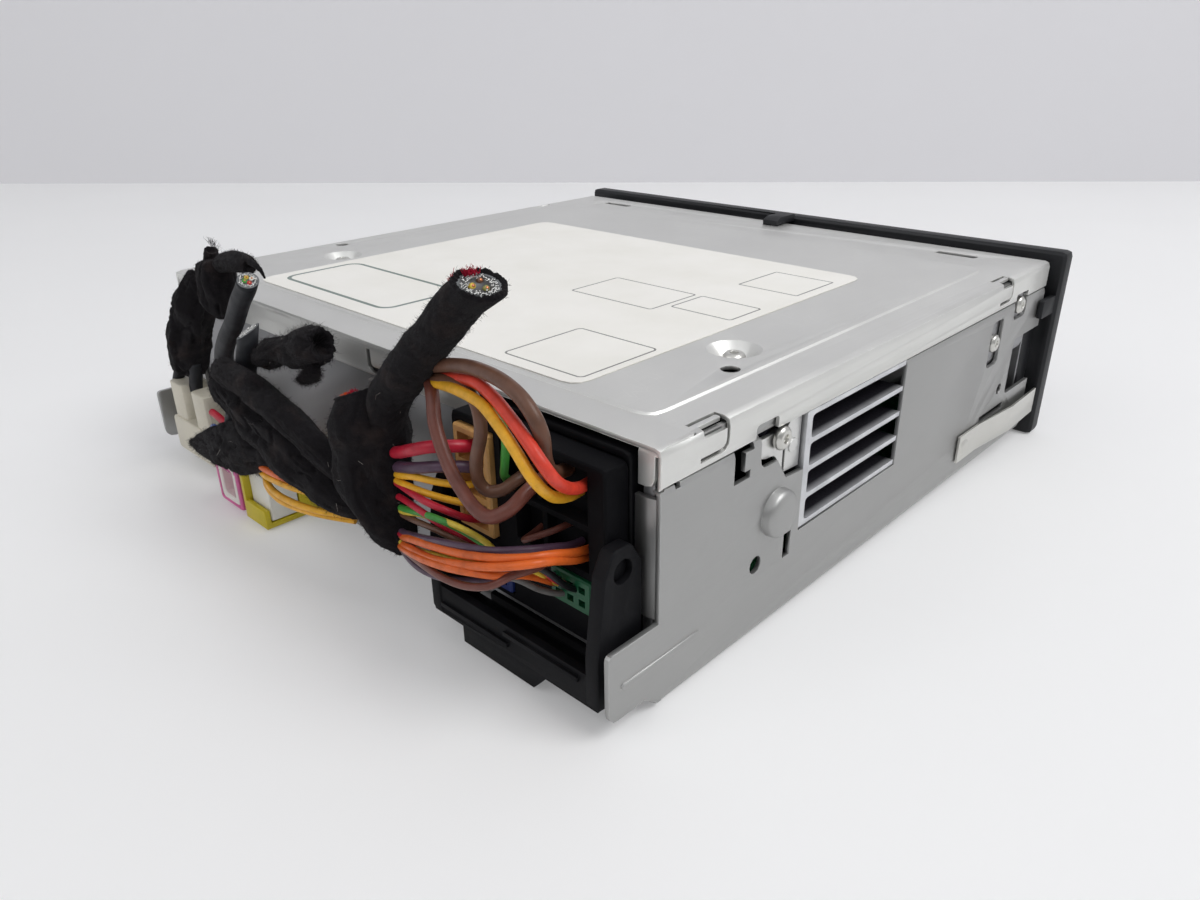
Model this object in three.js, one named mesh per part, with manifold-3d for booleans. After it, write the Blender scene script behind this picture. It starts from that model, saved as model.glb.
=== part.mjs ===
// Car navigation radio in a single-DIN steel case, with its disc drive and its cut-off harness.
// Millimetres, +Z up, the fascia faces -Y and the plugs leave towards +Y.
// Origin: middle of the object's footprint, level with the lower edge of the bezel.

import * as THREE from 'three';
import { mergeVertices } from 'three/addons/utils/BufferGeometryUtils.js';
import Module from 'manifold-3d';

const wasm = await Module();
wasm.setup();

// Driving sizes of the case
const chassis = { width: 178, depth: 167, height: 50.3 };
const tray = { sheet: 1, bend: 0.9, joggleBend: 0.3 };
const cover = {
  sheet: 0.8, bend: 0.7, skirt: 6.8, rearSkirt: 7.3, cornerSlit: 0.7, skirtCorner: 1.8,
  fieldSide: 9.5, fieldRear: 8.5, fieldFront: 21.5, fieldRise: 0.4, fieldRun: 0.7, fieldCorner: 4,
};
const gap = 0.3;
const weld = 0.001;
const overrun = 1;
const roundSteps = 3;

// Screws
const screw = {
  headRadius: 2.4, headHeight: 1.5, shankRadius: 1.3, shankLength: 3.4, drive: 0.9, driveDepth: 0.8, sides: 12,
};
const headShares = { rim: 0.6, crown: 0.72 };
const dimple = { radius: 5.8, floorRadius: 3.7, depth: 2.5, rim: 0.4, sides: 16 };
const coverScrewPlaces = [{ hand: -1, wall: 20, rear: 46.5 }, { hand: 1, wall: 21, rear: 40.5 }];

// Openings and lances of the cover
const coverHole = { radius: 2, sides: 12 };
const coverHolePlaces = [{ hand: -1, wall: 13.5, rear: 36.2 }, { hand: 1, wall: 5.5, rear: 50 }];
const frontSlot = { length: 12, width: 3, wall: 17, front: 7 };
const lance = { length: 8, height: 5.2, slit: 0.9, corner: 2.4, reach: 3.6, gash: 1.7 };
const lanceRearPlaces = [10, 134];
const rearLance = { centre: -10.5, slit: 1.5, window: 1.2 };
const skirtNotch = { rear: 26, length: 7.2, height: 2.5 };

// Paper label on the cover's field
const label = { width: 120, length: 105, thickness: 0.15, corner: 4, rear: 10, glue: 0.05 };

// Side wall openings, measured from the chassis's rear edge and floor
const sideWindow = { rear: 43.2, length: 40.8, floor: 17.6 };
const bracketCut = { length: 15.2, drop: 12.1, corner: 2.4 };
const bracketCutShares = [[0, 1], [1, 1], [1, 0.43, 1], [0.63, 0.43], [0.42, 0.04], [0, 0]];
const dome = { rear: 34.5, height: 25.5, radius: 5, rise: 2.5, sides: 24, rings: 5 };
const wallHole = { rear: 28.5, height: 16.3, radius: 1.9, sides: 12 };
const wallSlot = { rear: 38, length: 2.6, floor: 13.4, height: 5.5 };
const wallNotch = { rear: 19.9, length: 3.2, foot: 1.7, footHeight: 1.6, drop: 7, step: 1.4, head: 2.6 };
const tinyNotch = { rear: 3.7, length: 1.3, height: 1.4 };
const slotLower = { front: 27.8, length: 7.4, drop: 15.5, height: 12.5, corner: 1.6 };
const slotUpper = { front: 13.2, length: 8.2, drop: 5.5, corner: 1.6 };
const frontWindow = { length: 17.5, floor: 16, height: 16, corner: 1.5 };
const frontHole = { front: 22.5, height: 19, radius: 1.6 };
const springSlot = { front: 17.5, length: 16, floor: 11.9, height: 2 };
const rearFlange = { width: 5.6, floor: 18, height: 23, bend: 1.8 };
const ear = { reach: 12.5, floor: 3.6, height: 14.1, corner: 2.4, slope: 3.5, root: 0.9, bead: 1.4, beadRise: 0.35 };
const earBead = { rear: 11.5, tip: 3, height: 10 };
const ventSlot = { length: 16, width: 2.4, count: 5, pitch: 8, rear: 30 };
const ventRowPlaces = [-24, 24];
const boss = { radius: 3, sides: 10 };

// Rear panel and the plugs in it
const panel = { sheet: 1, floorFlange: 4, portMargin: 1.1 };
const header = { width: 39.2, wallRoom: 6, floor: 9.9, top: 48.2, depth: 24, wall: 1.6, rearGap: 0.5 };
const plug = { height: 35, floor: 12, depth: 5.7, nose: 14, pocket: 3.6, rim: 1.3, rib: 1.2, noseGap: 0.4 };
const tanInsert = { side: 1.6, width: 10.5, floor: 24, height: 21.5, proud: 1.2 };
const cell = { web: 1.3, depth: 2.5 };
const powerPocket = { side: 13.6, width: 21.6, floor: 35.7, height: 9.9 };
const middlePocket = { side: 17.2, width: 18, floor: 26.6, height: 8 };
const pocketRibShares = [0.57, 0.62];
const blueInsert = { side: 1.6, width: 14, floor: 13.4, height: 8, proud: 0.6 };
const greenInsert = { side: 25.9, width: 10.4, floor: 18, height: 7.2, proud: 0.6 };
const lever = {
  arm: 3, pivotRear: 6, pivotHeight: 30, hub: 4.4, pin: 2, pinReach: 2.2, front: 1.2, rear: 12.4,
  armFloor: 4.5, barThick: 2, barHeight: 6.6, grip: 3.7, gripStart: 9.1, gripEnd: 13.3, gripSlope: 3.2,
  sides: 14, shelf: 8, crease: 0.9, creaseRise: 0.6, shoulder: 10.4,
};
const creaseSpanShares = [[0.5, 0.93], [0.1, 0.52]];
const creaseHeightShares = [0.4, 0.75];
const whitePlug = { wallRoom: 11, width: 22, floor: 4, height: 10, reach: 13, tower: 8, towerTop: 24, corner: 1.4 };
const smallPlug = { width: 10.5, height: 14, reach: 9.5 };
const magentaPlug = {
  room: 1.3, width: 12, floor: 1.2, height: 11, reach: 17.2, latch: 2.4, latchRise: 0.8, wall: 1.2,
};
const yellowPlug = { room: 1.2, width: 10.5, floor: 0.6, height: 13.4, reach: 17, wall: 1.3 };
const yellowShares = { front: 0.45, frontTop: 0.8, rearWall: 0.36 };
const smallNose = { side: 1.4, floor: 3.2, top: 12 };
const socketDepth = 4;

// Heat sink comb in the side window, its bracket and screw
const comb = {
  fin: 1.1, count: 5, depth: 9, base: 2, spine: 2, corner: 0.9, inset: 0.2, footDepth: 13, footHeight: 2.6, footEnd: 6,
};
const bracket = {
  inset: 1, sheet: 1, clear: 0.5, oval: 1.5, ovalRise: 0.4, ovalRear: 39.8, ovalDrop: 6, sides: 10,
  slitRear: 36.8, slit: 0.9, slitDrop: 2.4,
};
const bracketShares = [[0, 1], [0.27, 1], [0.33, 0.9], [0.97, 0.9], [0.97, 0.52, 1], [0.6, 0.48, 1], [0.4, 0.06], [0, 0.03]];
const combScrew = { rear: 34.9, drop: 2.7 };
const bossPost = { radius: 3.1, lower: 0.5, sides: 12, depth: 3.5 };

// Leaf springs on the side walls
const leaf = { sheet: 0.6, width: 7.4, floor: 5.2, front: 46.7, length: 49.5, bulge: 1.7, end: 3.2, bend: 9.9 };
const rivet = { radius: 1.5, head: 2.3, top: 1.6, rise: 0.5, sides: 10 };
const leafShares = [[0, 0], [0.24, 0], [0.62, 1], [1, 0.7]];

// Front: bezel, button, dust curtain and front plate
const bezel = {
  sideOver: 2.6, topOver: 1.8, bottomOver: 2.95, standoff: 4.4, thick: 5.8, corner: 1.6, edge: 0.8,
  collarWall: 1.8, collarDepth: 7.4, collarFloor: 1.5, collarDrop: 1.7, field: 4, fieldDepth: 0.8, plate: 2.6,
};
const discSlot = { width: 124, height: 5.4, centre: 36, flare: 1, corner: 1.2 };
const hook = {
  width: 5.5, centre: -0.8, rise: 2.6, tipRise: 1.6, reach: 10.5, tip: 2.4,
  sideDrop: 8.5, sideHeight: 5, sideReach: 8.6, sideThick: 1.5,
};
const button = {
  width: 12.4, height: 7, wall: 15, centre: 23, proud: 0.6, flange: 1.1, flangeThick: 1, stem: 2.6, stemSides: 10,
  travel: 1.2, corner: 1.6, arm: 9, armThick: 0.7,
};
const felt = { thick: 1, slit: 0.8, border: 1.6, slitEnd: 3 };
const frontPlate = { sheet: 1, floorFlange: 6, slotMargin: 0.6 };

// Main board
const board = { sheet: 1.6, height: 8, side: 5.5, rear: 4.8, front: 24 };
const amplifier = { wall: 10, width: 14, rear: 51, length: 26, height: 6.2 };
const tuner = { side: 30, width: 34, rear: 26, length: 40, height: 9 };
const processor = { side: -20, width: 30, rear: 66, length: 30, height: 3 };
const capacitor = { radius: 5, height: 10, sides: 12, pitch: 12.5, count: 3, side: -30, rear: 30 };
const socketBlock = { depth: 11, height: 8 };

// Disc drive
const drive = {
  sideRoom: 20, rearRoom: 27.5, front: 7.5, sheet: 1, floor: 21, headroom: 5.5, tabSheet: 1, tabFloor: 27,
  tabDrop: 1.7, tabFront: 7.5, tabLength: 32, earRise: 0.5, coverTab: 12,
};
const driveOpening = { side: 22, front: 37.4, rear: 35.2, corner: 5.5 };
const axle = { front: 71.5 };
const damper = { radius: 4, height: 2.6, neck: 2.8, sides: 12, inset: 14, behind: 32 };
const damperHands = [-1, 1, 0];
const plate = { side: 3, thick: 1.2, front: 44.5, rear: 38, hole: 16, slotEnd: 6 };
const spindleMotor = { radius: 11.5, height: 4.4, bore: 1.4, shaft: 1.1, sides: 20 };
const turntable = { radius: 13.5, sheet: 2.4, hub: 7.2, hubRise: 2, cone: 1.4, sides: 20 };
const sled = { width: 14, start: 24, reach: 42, height: 5.5, lift: 0.8, lens: 3.4, lensTop: 2, lensRise: 1, sides: 12 };
const rod = { radius: 1.5, lift: 4.2, offset: 18, sides: 10 };
const post = { thick: 2.4, width: 6, inner: 8, tail: 0.5 };
const sledMotor = { radius: 3.8, length: 17, sides: 14 };
const roller = { front: 13.5, height: 31, radius: 3.4, waist: 0.5, wallRoom: 15, shaft: 1.3, sides: 14 };
const gear = { teeth: 20, pinionTeeth: 10, pitch: 0.6, width: 3, wallRoom: 12, crest: 0.51, root: 0.69, shaft: 0.9 };
const toothShares = [[-0.27, 0], [-0.12, 1], [0.12, 1], [0.27, 0]];
const loadMotor = { radius: 4.1, length: 22, sides: 14, angle: -32, neck: 1.5 };
const boreSides = 12;
const shaftSides = 10;
const clamp = { sheet: 1.2, height: 37.8, beam: 8, beamRear: 61.5, arm: 20, pin: 1.5, pinReach: 2.6, ring: 13 };
const puck = { radius: 9, sheet: 2.4, recess: 1.4, stem: 3, flange: 5, flangeSheet: 1, sides: 18 };

// Places worked out from the sizes above
const halfWidth = chassis.width / 2;
const rearY = chassis.depth / 2;
const frontY = -rearY;
const wallInner = halfWidth - tray.sheet;
const lipOuter = halfWidth - cover.sheet - gap;
const lipInner = lipOuter - tray.sheet;
const skirtEdge = chassis.height - cover.skirt;
const stepTop = skirtEdge - gap;
const coverUnder = chassis.height - cover.sheet;
const fieldTop = chassis.height + cover.fieldRise;
const panelRear = rearY - tray.sheet - gap;
const panelFront = panelRear - panel.sheet;
const bezelBack = frontY - bezel.standoff;
const bezelFace = bezelBack - bezel.thick;
const plateFront = frontY + bezel.collarDepth - bezel.standoff + gap;
const plugRear = rearY + plug.depth + header.rearGap + gap;
const headerRight = -halfWidth + header.wallRoom;
const plugX = [headerRight, headerRight + header.width];
const whiteX = [halfWidth - whitePlug.wallRoom - whitePlug.width, halfWidth - whitePlug.wallRoom];
const magentaEnd = whiteX[0] - smallPlug.width - magentaPlug.room;
const magentaX = [magentaEnd - magentaPlug.width, magentaEnd];
const yellowEnd = magentaX[0] - yellowPlug.room;
const yellowX = [yellowEnd - yellowPlug.width, yellowEnd];
const pivotY = rearY + lever.pivotRear;
const leverRear = rearY + lever.rear;
const rollerY = frontY + roller.front;
const spindleY = frontY + axle.front;
const spindleX = 0;
const driveHalf = halfWidth - drive.sideRoom;
const driveFront = frontY + drive.front;
const driveRear = rearY - drive.rearRoom;
const driveFloorTop = drive.floor + drive.sheet;
const plateUnder = driveFloorTop + damper.height + 2 * gap;
const plateTop = plateUnder + plate.thick;
const rodHeight = plateTop + rod.lift;
const plateHalf = driveHalf - plate.side;
const boardTop = board.height + board.sheet;
const armFloorY = rearY + lever.front;
const combScrewZ = skirtEdge - combScrew.drop;
const bracketCutZ = skirtEdge - bracketCut.drop;
const slotUpperZ = skirtEdge - slotUpper.drop;
const slotLowerZ = skirtEdge - slotLower.drop;
const buttonX = halfWidth - button.wall;
const leafRear = frontY + leaf.front;
const fromWall = ({ hand, wall }) => hand * (halfWidth - wall);

const axes = {
  x: new THREE.Vector3(1, 0, 0),
  y: new THREE.Vector3(0, 1, 0),
  z: new THREE.Vector3(0, 0, 1),
};

// Turns a closed three.js geometry into a solid that can be joined and cut
function solidOf(geometry) {
  const bare = geometry.clone();
  bare.deleteAttribute('normal');
  bare.deleteAttribute('uv');
  const merged = mergeVertices(bare, weld);
  const corners = [];
  const index = merged.index.array;
  for (let i = 0; i < index.length; i += 3) {
    const [a, b, c] = [index[i], index[i + 1], index[i + 2]];
    if (a !== b && b !== c && c !== a) corners.push(a, b, c);
  }
  return new wasm.Manifold(new wasm.Mesh({
    numProp: 3,
    vertProperties: new Float32Array(merged.attributes.position.array),
    triVerts: new Uint32Array(corners),
  }));
}

function geometryOf(solid) {
  const mesh = solid.getMesh();
  const geometry = new THREE.BufferGeometry();
  geometry.setAttribute('position', new THREE.BufferAttribute(new Float32Array(mesh.vertProperties), 3));
  geometry.setIndex(new THREE.BufferAttribute(new Uint32Array(mesh.triVerts), 1));
  geometry.computeVertexNormals();
  return geometry;
}

const join = (...solids) => solids.reduce((sum, next) => sum.add(next));
const cut = (body, ...tools) => tools.reduce((rest, tool) => rest.subtract(tool), body);

// A block between two values on each axis
function block([x0, x1], [y0, y1], [z0, z1]) {
  const box = new THREE.BoxGeometry(x1 - x0, y1 - y0, z1 - z0);
  box.translate((x0 + x1) / 2, (y0 + y1) / 2, (z0 + z1) / 2);
  return solidOf(box);
}

// A flat outline whose corners may be rounded: each point is [u, v] or [u, v, radius]
function outline(points) {
  const shape = new THREE.Shape();
  points.forEach(([u, v, radius], i) => {
    const here = new THREE.Vector2(u, v);
    if (!radius) {
      if (i === 0) shape.moveTo(u, v);
      else shape.lineTo(u, v);
      return;
    }
    const before = new THREE.Vector2(...points[(i + points.length - 1) % points.length]).sub(here).normalize();
    const after = new THREE.Vector2(...points[(i + 1) % points.length]).sub(here).normalize();
    const setBack = radius / Math.tan(Math.acos(before.dot(after)) / 2);
    const start = here.clone().addScaledVector(before, setBack);
    const end = here.clone().addScaledVector(after, setBack);
    if (i === 0) shape.moveTo(start.x, start.y);
    else shape.lineTo(start.x, start.y);
    shape.quadraticCurveTo(u, v, end.x, end.y);
  });
  shape.closePath();
  return shape;
}

function rounded([u0, u1], [v0, v1], r) {
  return outline([[u0, v0, r], [u1, v0, r], [u1, v1, r], [u0, v1, r]]);
}

// An outline given as shares of a box, where a third value of 1 rounds that corner
function shared([u0, u1], [v0, v1], shares, r) {
  return outline(shares.map(([su, sv, soft]) => [u0 + su * (u1 - u0), v0 + sv * (v1 - v0), soft ? r : 0]));
}

function disc(u, v, radius, sides, turn = 0) {
  const points = [];
  for (let i = 0; i < sides; i++) {
    const angle = turn + (i * 2 * Math.PI) / sides;
    points.push([u + radius * Math.cos(angle), v + radius * Math.sin(angle)]);
  }
  return outline(points);
}

// Carries a shape drawn in the plane across an axis: x takes (y, z), y takes (x, z), z takes (x, y)
function layAlong(geometry, axis, from, to) {
  const { x, y, z } = axes;
  if (axis === 'x') geometry.applyMatrix4(new THREE.Matrix4().makeBasis(y, z, x)).translate(from, 0, 0);
  if (axis === 'y') geometry.applyMatrix4(new THREE.Matrix4().makeBasis(x, z, y.clone().negate())).translate(0, to, 0);
  if (axis === 'z') geometry.translate(0, 0, from);
  return geometry;
}

function prism(shape, axis, [from, to], steps = roundSteps) {
  const geometry = new THREE.ExtrudeGeometry(shape, { depth: to - from, bevelEnabled: false, curveSegments: steps });
  return solidOf(layAlong(geometry, axis, from, to));
}

// A prism whose two end faces are drawn in by a chamfer
function chamfered(shape, axis, [from, to], edge, steps = roundSteps) {
  const geometry = new THREE.ExtrudeGeometry(shape, {
    depth: to - from - 2 * edge, bevelThickness: edge, bevelSize: edge, bevelOffset: -edge, bevelSegments: 1,
    curveSegments: steps,
  });
  geometry.translate(0, 0, edge);
  return solidOf(layAlong(geometry, axis, from, to));
}

// A turned piece: the profile lists [radius, place along the axis] from one end on the axis to the other
function turned(profile, axis, [a, b, c], sides) {
  const geometry = new THREE.LatheGeometry(profile.map(([r, h]) => new THREE.Vector2(r, h)), sides);
  if (axis === 'z') geometry.rotateX(Math.PI / 2);
  if (axis === 'x') geometry.rotateZ(-Math.PI / 2);
  geometry.translate(a, b, c);
  return solidOf(geometry);
}

// Outline of a folded sheet: the points run along its outer face with the sheet on their left,
// and a third value is the inner radius of the bend at that point
function foldedSheet(points, sheet) {
  const outer = points.map(([u, v]) => new THREE.Vector2(u, v));
  const bends = points.map(([, , bend]) => bend || 0);
  const sides = outer.slice(1).map((end, i) => end.clone().sub(outer[i]).normalize());
  const normals = sides.map((side) => new THREE.Vector2(-side.y, side.x));
  const inner = outer.map((point, i) => {
    const before = normals[Math.max(i - 1, 0)];
    const after = normals[Math.min(i, normals.length - 1)];
    const mitre = before.clone().add(after);
    return point.clone().addScaledVector(mitre, (2 * sheet) / mitre.lengthSq());
  });
  const turnsLeft = (i) => sides[i - 1].cross(sides[i]) > 0;
  const radiusAt = (i, onInner) => {
    if (!bends[i]) return 0;
    return turnsLeft(i) === onInner ? bends[i] : bends[i] + sheet;
  };
  const first = outer.map((p, i) => [p.x, p.y, radiusAt(i, false)]);
  const second = inner.map((p, i) => [p.x, p.y, radiusAt(i, true)]).reverse();
  return outline([...first, ...second]);
}

// A round cord of one diameter along hand-chosen points
function cord(points, diameter, sides, steps) {
  const path = new THREE.CatmullRomCurve3(points.map(([x, y, z]) => new THREE.Vector3(x, y, z)));
  const section = disc(0, 0, diameter / 2, sides);
  return solidOf(new THREE.ExtrudeGeometry(section, { steps, extrudePath: path, bevelEnabled: false }));
}

// A taped bundle: rings of changing radius along hand-chosen points [x, y, z, radius]
function tapedBundle(points, sides, steps) {
  const path = new THREE.CatmullRomCurve3(points.map(([x, y, z]) => new THREE.Vector3(x, y, z)));
  const radii = points.map((point) => point[3]);
  const frames = path.computeFrenetFrames(steps, false);
  const positions = [];
  const faces = [];
  for (let i = 0; i <= steps; i++) {
    const along = path.getUtoTmapping(i / steps) * (radii.length - 1);
    const k = Math.min(Math.floor(along), radii.length - 2);
    const radius = THREE.MathUtils.lerp(radii[k], radii[k + 1], along - k);
    const centre = path.getPointAt(i / steps);
    for (let j = 0; j < sides; j++) {
      const angle = (j * 2 * Math.PI) / sides;
      const rim = centre.clone();
      rim.addScaledVector(frames.normals[i], radius * Math.cos(angle));
      rim.addScaledVector(frames.binormals[i], radius * Math.sin(angle));
      positions.push(rim.x, rim.y, rim.z);
      const next = (j + 1) % sides;
      const [a, b, c, d] = [i * sides + j, i * sides + next, (i + 1) * sides + next, (i + 1) * sides + j];
      if (i < steps) faces.push(a, b, c, a, c, d);
    }
  }
  for (let j = 1; j < sides - 1; j++) {
    faces.push(0, j + 1, j);
    const last = steps * sides;
    faces.push(last, last + j, last + j + 1);
  }
  const geometry = new THREE.BufferGeometry();
  geometry.setAttribute('position', new THREE.Float32BufferAttribute(positions, 3));
  geometry.setIndex(faces);
  return solidOf(geometry);
}

// The finished radio; the chassis is drawn about its own floor and moved up to rest on the bezel
const radio = new THREE.Group();
const assembly = new THREE.Group();
assembly.position.set(0, -(bezelFace - button.proud + rearY + yellowPlug.reach) / 2, bezel.bottomOver);
radio.add(assembly);

function piece(name, solid, color, roughness, metalness) {
  const mesh = new THREE.Mesh(geometryOf(solid), new THREE.MeshStandardMaterial({ color, roughness, metalness }));
  mesh.name = name;
  assembly.add(mesh);
}

const onBothSides = (make) => [-1, 1].forEach((side) => make(side));

// Side wall openings that both walls have; they are drawn through one wall only
function wallOpenings(side) {
  const through = side < 0 ? [-halfWidth - overrun, -lipInner + overrun] : [lipInner - overrun, halfWidth + overrun];
  const notchRear = rearY - wallNotch.rear;
  const notchFront = notchRear - wallNotch.length;
  const notchFloor = skirtEdge - wallNotch.drop;
  const lower = frontY + slotLower.front;
  const upper = frontY + slotUpper.front;
  const lip = [skirtEdge, chassis.height + overrun];
  return [
    prism(disc(leafRear - leaf.end, leaf.floor + leaf.width / 2, rivet.radius + gap, rivet.sides), 'x', through),
    prism(disc(rearY - wallHole.rear, wallHole.height, wallHole.radius, wallHole.sides), 'x', through),
    prism(disc(frontY + frontHole.front, frontHole.height, frontHole.radius, wallHole.sides), 'x', through),
    prism(rounded(
      [lower, lower + slotLower.length], [slotLowerZ, slotLowerZ + slotLower.height], slotLower.corner,
    ), 'x', through),
    prism(outline([
      [upper, slotUpperZ, slotUpper.corner], [upper + slotUpper.length, slotUpperZ, slotUpper.corner],
      [upper + slotUpper.length, lip[1]], [upper, lip[1]],
    ]), 'x', through),
    prism(outline([
      [frontY - overrun, frontWindow.floor], [frontY + frontWindow.length, frontWindow.floor, frontWindow.corner],
      [frontY + frontWindow.length, frontWindow.floor + frontWindow.height, frontWindow.corner],
      [frontY - overrun, frontWindow.floor + frontWindow.height],
    ]), 'x', through),
    block(through, [notchFront, notchRear], [notchFloor, skirtEdge]),
    block(
      through, [notchFront - wallNotch.foot, notchFront + overrun],
      [notchFloor, notchFloor + wallNotch.footHeight],
    ),
    block(through, [notchFront - wallNotch.head, notchFront + overrun], [stepTop - wallNotch.step, skirtEdge]),
    block(
      through, [frontY + springSlot.front, frontY + springSlot.front + springSlot.length],
      [springSlot.floor, springSlot.floor + springSlot.height],
    ),
  ];
}

// Openings that only the wall with the heat sink has
function heatSinkWallOpenings() {
  const through = [-halfWidth - overrun, -lipInner + overrun];
  const windowRear = rearY - sideWindow.rear;
  return [
    block(through, [windowRear - sideWindow.length, windowRear], [sideWindow.floor, skirtEdge]),
    prism(shared(
      [windowRear - gap, windowRear + bracketCut.length], [bracketCutZ, skirtEdge],
      bracketCutShares, bracketCut.corner,
    ), 'x', through),
    block(
      through, [rearY - wallSlot.rear - wallSlot.length, rearY - wallSlot.rear],
      [wallSlot.floor, wallSlot.floor + wallSlot.height],
    ),
    block(
      through, [rearY - tinyNotch.rear - tinyNotch.length, rearY - tinyNotch.rear],
      [skirtEdge - tinyNotch.height, skirtEdge],
    ),
  ];
}

// The pressed dome is the space between two caps with steep sides about an axis across the wall
function domeCap(radius, rise) {
  const profile = [[0, rise]];
  for (let i = 1; i <= dome.rings; i++) {
    const turn = (Math.PI * i) / (2 * dome.rings);
    profile.push([radius * Math.sqrt(Math.sin(turn)), rise * Math.sqrt(Math.cos(turn))]);
  }
  profile.pop();
  profile.push([radius, 0]);
  profile.push([radius, -tray.sheet], [0, -tray.sheet]);
  const outward = profile.map(([r, h]) => [r, -h]);
  return turned(outward, 'x', [-halfWidth, rearY - dome.rear, dome.height], dome.sides);
}

// Ear and inward flange at the rear end of one wall
function wallRear(side) {
  const wall = side < 0 ? [-halfWidth, -wallInner] : [wallInner, halfWidth];
  const tip = rearY + ear.reach;
  const earTop = ear.floor + ear.height;
  const plateOfEar = prism(outline([
    [rearY - overrun, ear.root], [rearY, ear.root], [rearY + ear.slope, ear.floor], [tip, ear.floor, ear.corner],
    [tip, earTop, ear.corner / 2], [rearY - overrun, earTop],
  ]), 'x', wall);
  const beadX = side < 0 ? [-halfWidth - ear.beadRise, -halfWidth + gap] : [halfWidth - gap, halfWidth + ear.beadRise];
  const bead = chamfered(rounded(
    [rearY - earBead.rear, tip - earBead.tip], [earBead.height - ear.bead / 2, earBead.height + ear.bead / 2],
    ear.bead / 3,
  ), 'x', beadX, ear.beadRise / 2, 1);
  const flangeFront = rearY - rearFlange.width;
  const fold = foldedSheet(
    side < 0
      ? [[rearFlange.width - halfWidth, rearY], [-halfWidth, rearY, rearFlange.bend], [-halfWidth, flangeFront]]
      : [[halfWidth, flangeFront], [halfWidth, rearY, rearFlange.bend], [halfWidth - rearFlange.width, rearY]],
    tray.sheet,
  );
  return [plateOfEar, bead, prism(fold, 'z', [rearFlange.floor, rearFlange.floor + rearFlange.height])];
}

function chassisTray() {
  const top = coverUnder - 2 * gap;
  const profile = foldedSheet([
    [-lipOuter, top], [-lipOuter, stepTop, tray.joggleBend], [-halfWidth, stepTop, tray.joggleBend],
    [-halfWidth, 0, tray.bend], [halfWidth, 0, tray.bend],
    [halfWidth, stepTop, tray.joggleBend], [lipOuter, stepTop, tray.joggleBend], [lipOuter, top],
  ], tray.sheet);
  let body = prism(profile, 'y', [frontY, rearY], 2);
  onBothSides((side) => {
    body = join(body, ...wallRear(side));
    body = cut(body, ...wallOpenings(side));
  });
  body = cut(body, ...heatSinkWallOpenings());
  const underSkirt = chassis.height - cover.rearSkirt - gap;
  body = body.subtract(block(
    [-halfWidth - overrun, halfWidth + overrun], [rearY - cover.sheet - gap, rearY + overrun],
    [underSkirt, chassis.height + overrun],
  ));
  body = cut(body.add(domeCap(dome.radius, dome.rise)), domeCap(dome.radius - tray.sheet, dome.rise - tray.sheet));
  for (const row of ventRowPlaces) {
    for (let i = 0; i < ventSlot.count; i++) {
      const y = rearY - ventSlot.rear - i * ventSlot.pitch;
      body = body.subtract(prism(rounded(
        [row - ventSlot.length / 2, row + ventSlot.length / 2], [y - ventSlot.width / 2, y + ventSlot.width / 2],
        ventSlot.width / 2.2,
      ), 'z', [-overrun, tray.sheet + overrun], 2));
    }
  }
  for (const x of [-halfWidth + board.side * 2, halfWidth - board.side * 2]) {
    for (const y of [frontY + board.front + board.side, rearY - board.rear - board.side]) {
      body = body.add(prism(disc(x, y, boss.radius, boss.sides), 'z', [tray.sheet / 2, board.height - gap]));
    }
  }
  return body;
}

piece('chassis_tray', chassisTray(), 0xa7a9a9, 0.42, 0.85);

// A C-shaped slit through the fold of the cover: a leg in the skirt, one in the top and a gash between them
function lanceCutters(side, y) {
  const outerX = side * (halfWidth + overrun);
  const innerX = side * (halfWidth - lance.reach);
  const slit = side * lance.slit;
  const span = (a, b) => [Math.min(a, b), Math.max(a, b)];
  const z0 = skirtEdge + lance.slit;
  const overTop = chassis.height + overrun;
  const inSkirt = cut(
    prism(outline([
      [y - lance.length, z0, lance.corner], [y, z0], [y, overTop], [y - lance.length, overTop],
    ]), 'x', span(outerX, side * (lipOuter - gap))),
    prism(outline([
      [y - lance.length + lance.slit, z0 + lance.slit, lance.corner - lance.slit], [y + overrun, z0 + lance.slit],
      [y + overrun, overTop + lance.height], [y - lance.length + lance.slit, overTop + lance.height],
    ]), 'x', span(outerX + side * overrun, side * (lipOuter - 2 * gap))),
  );
  const inTop = cut(
    block(span(outerX, innerX), [y - lance.length, y], [coverUnder - gap, overTop]),
    block(span(outerX + side * overrun, innerX + slit), [y - lance.length + lance.slit, y + overrun], [
      coverUnder - 2 * gap, overTop + overrun,
    ]),
  );
  const gash = block(
    span(outerX, side * (halfWidth - lance.gash)), [y - lance.length, y - lance.slit],
    [chassis.height - lance.gash, overTop],
  );
  return [inSkirt, inTop, gash];
}

// Screw dimple: the hole that its cup closes, and the cup itself
function dimpleCup(x, y) {
  const mouth = prism(disc(x, y, dimple.radius, dimple.sides), 'z', [coverUnder - overrun, fieldTop + overrun]);
  const sheet = cover.sheet;
  const cup = turned([
    [screw.shankRadius + gap, -dimple.depth - sheet], [dimple.floorRadius + sheet / 2, -dimple.depth - sheet],
    [dimple.radius + dimple.rim, -sheet], [dimple.radius + dimple.rim, 0], [dimple.radius, 0],
    [dimple.floorRadius, -dimple.depth], [screw.shankRadius + gap, -dimple.depth],
    [screw.shankRadius + gap, -dimple.depth - sheet],
  ], 'z', [x, y, fieldTop], dimple.sides);
  return { mouth, cup };
}

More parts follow.
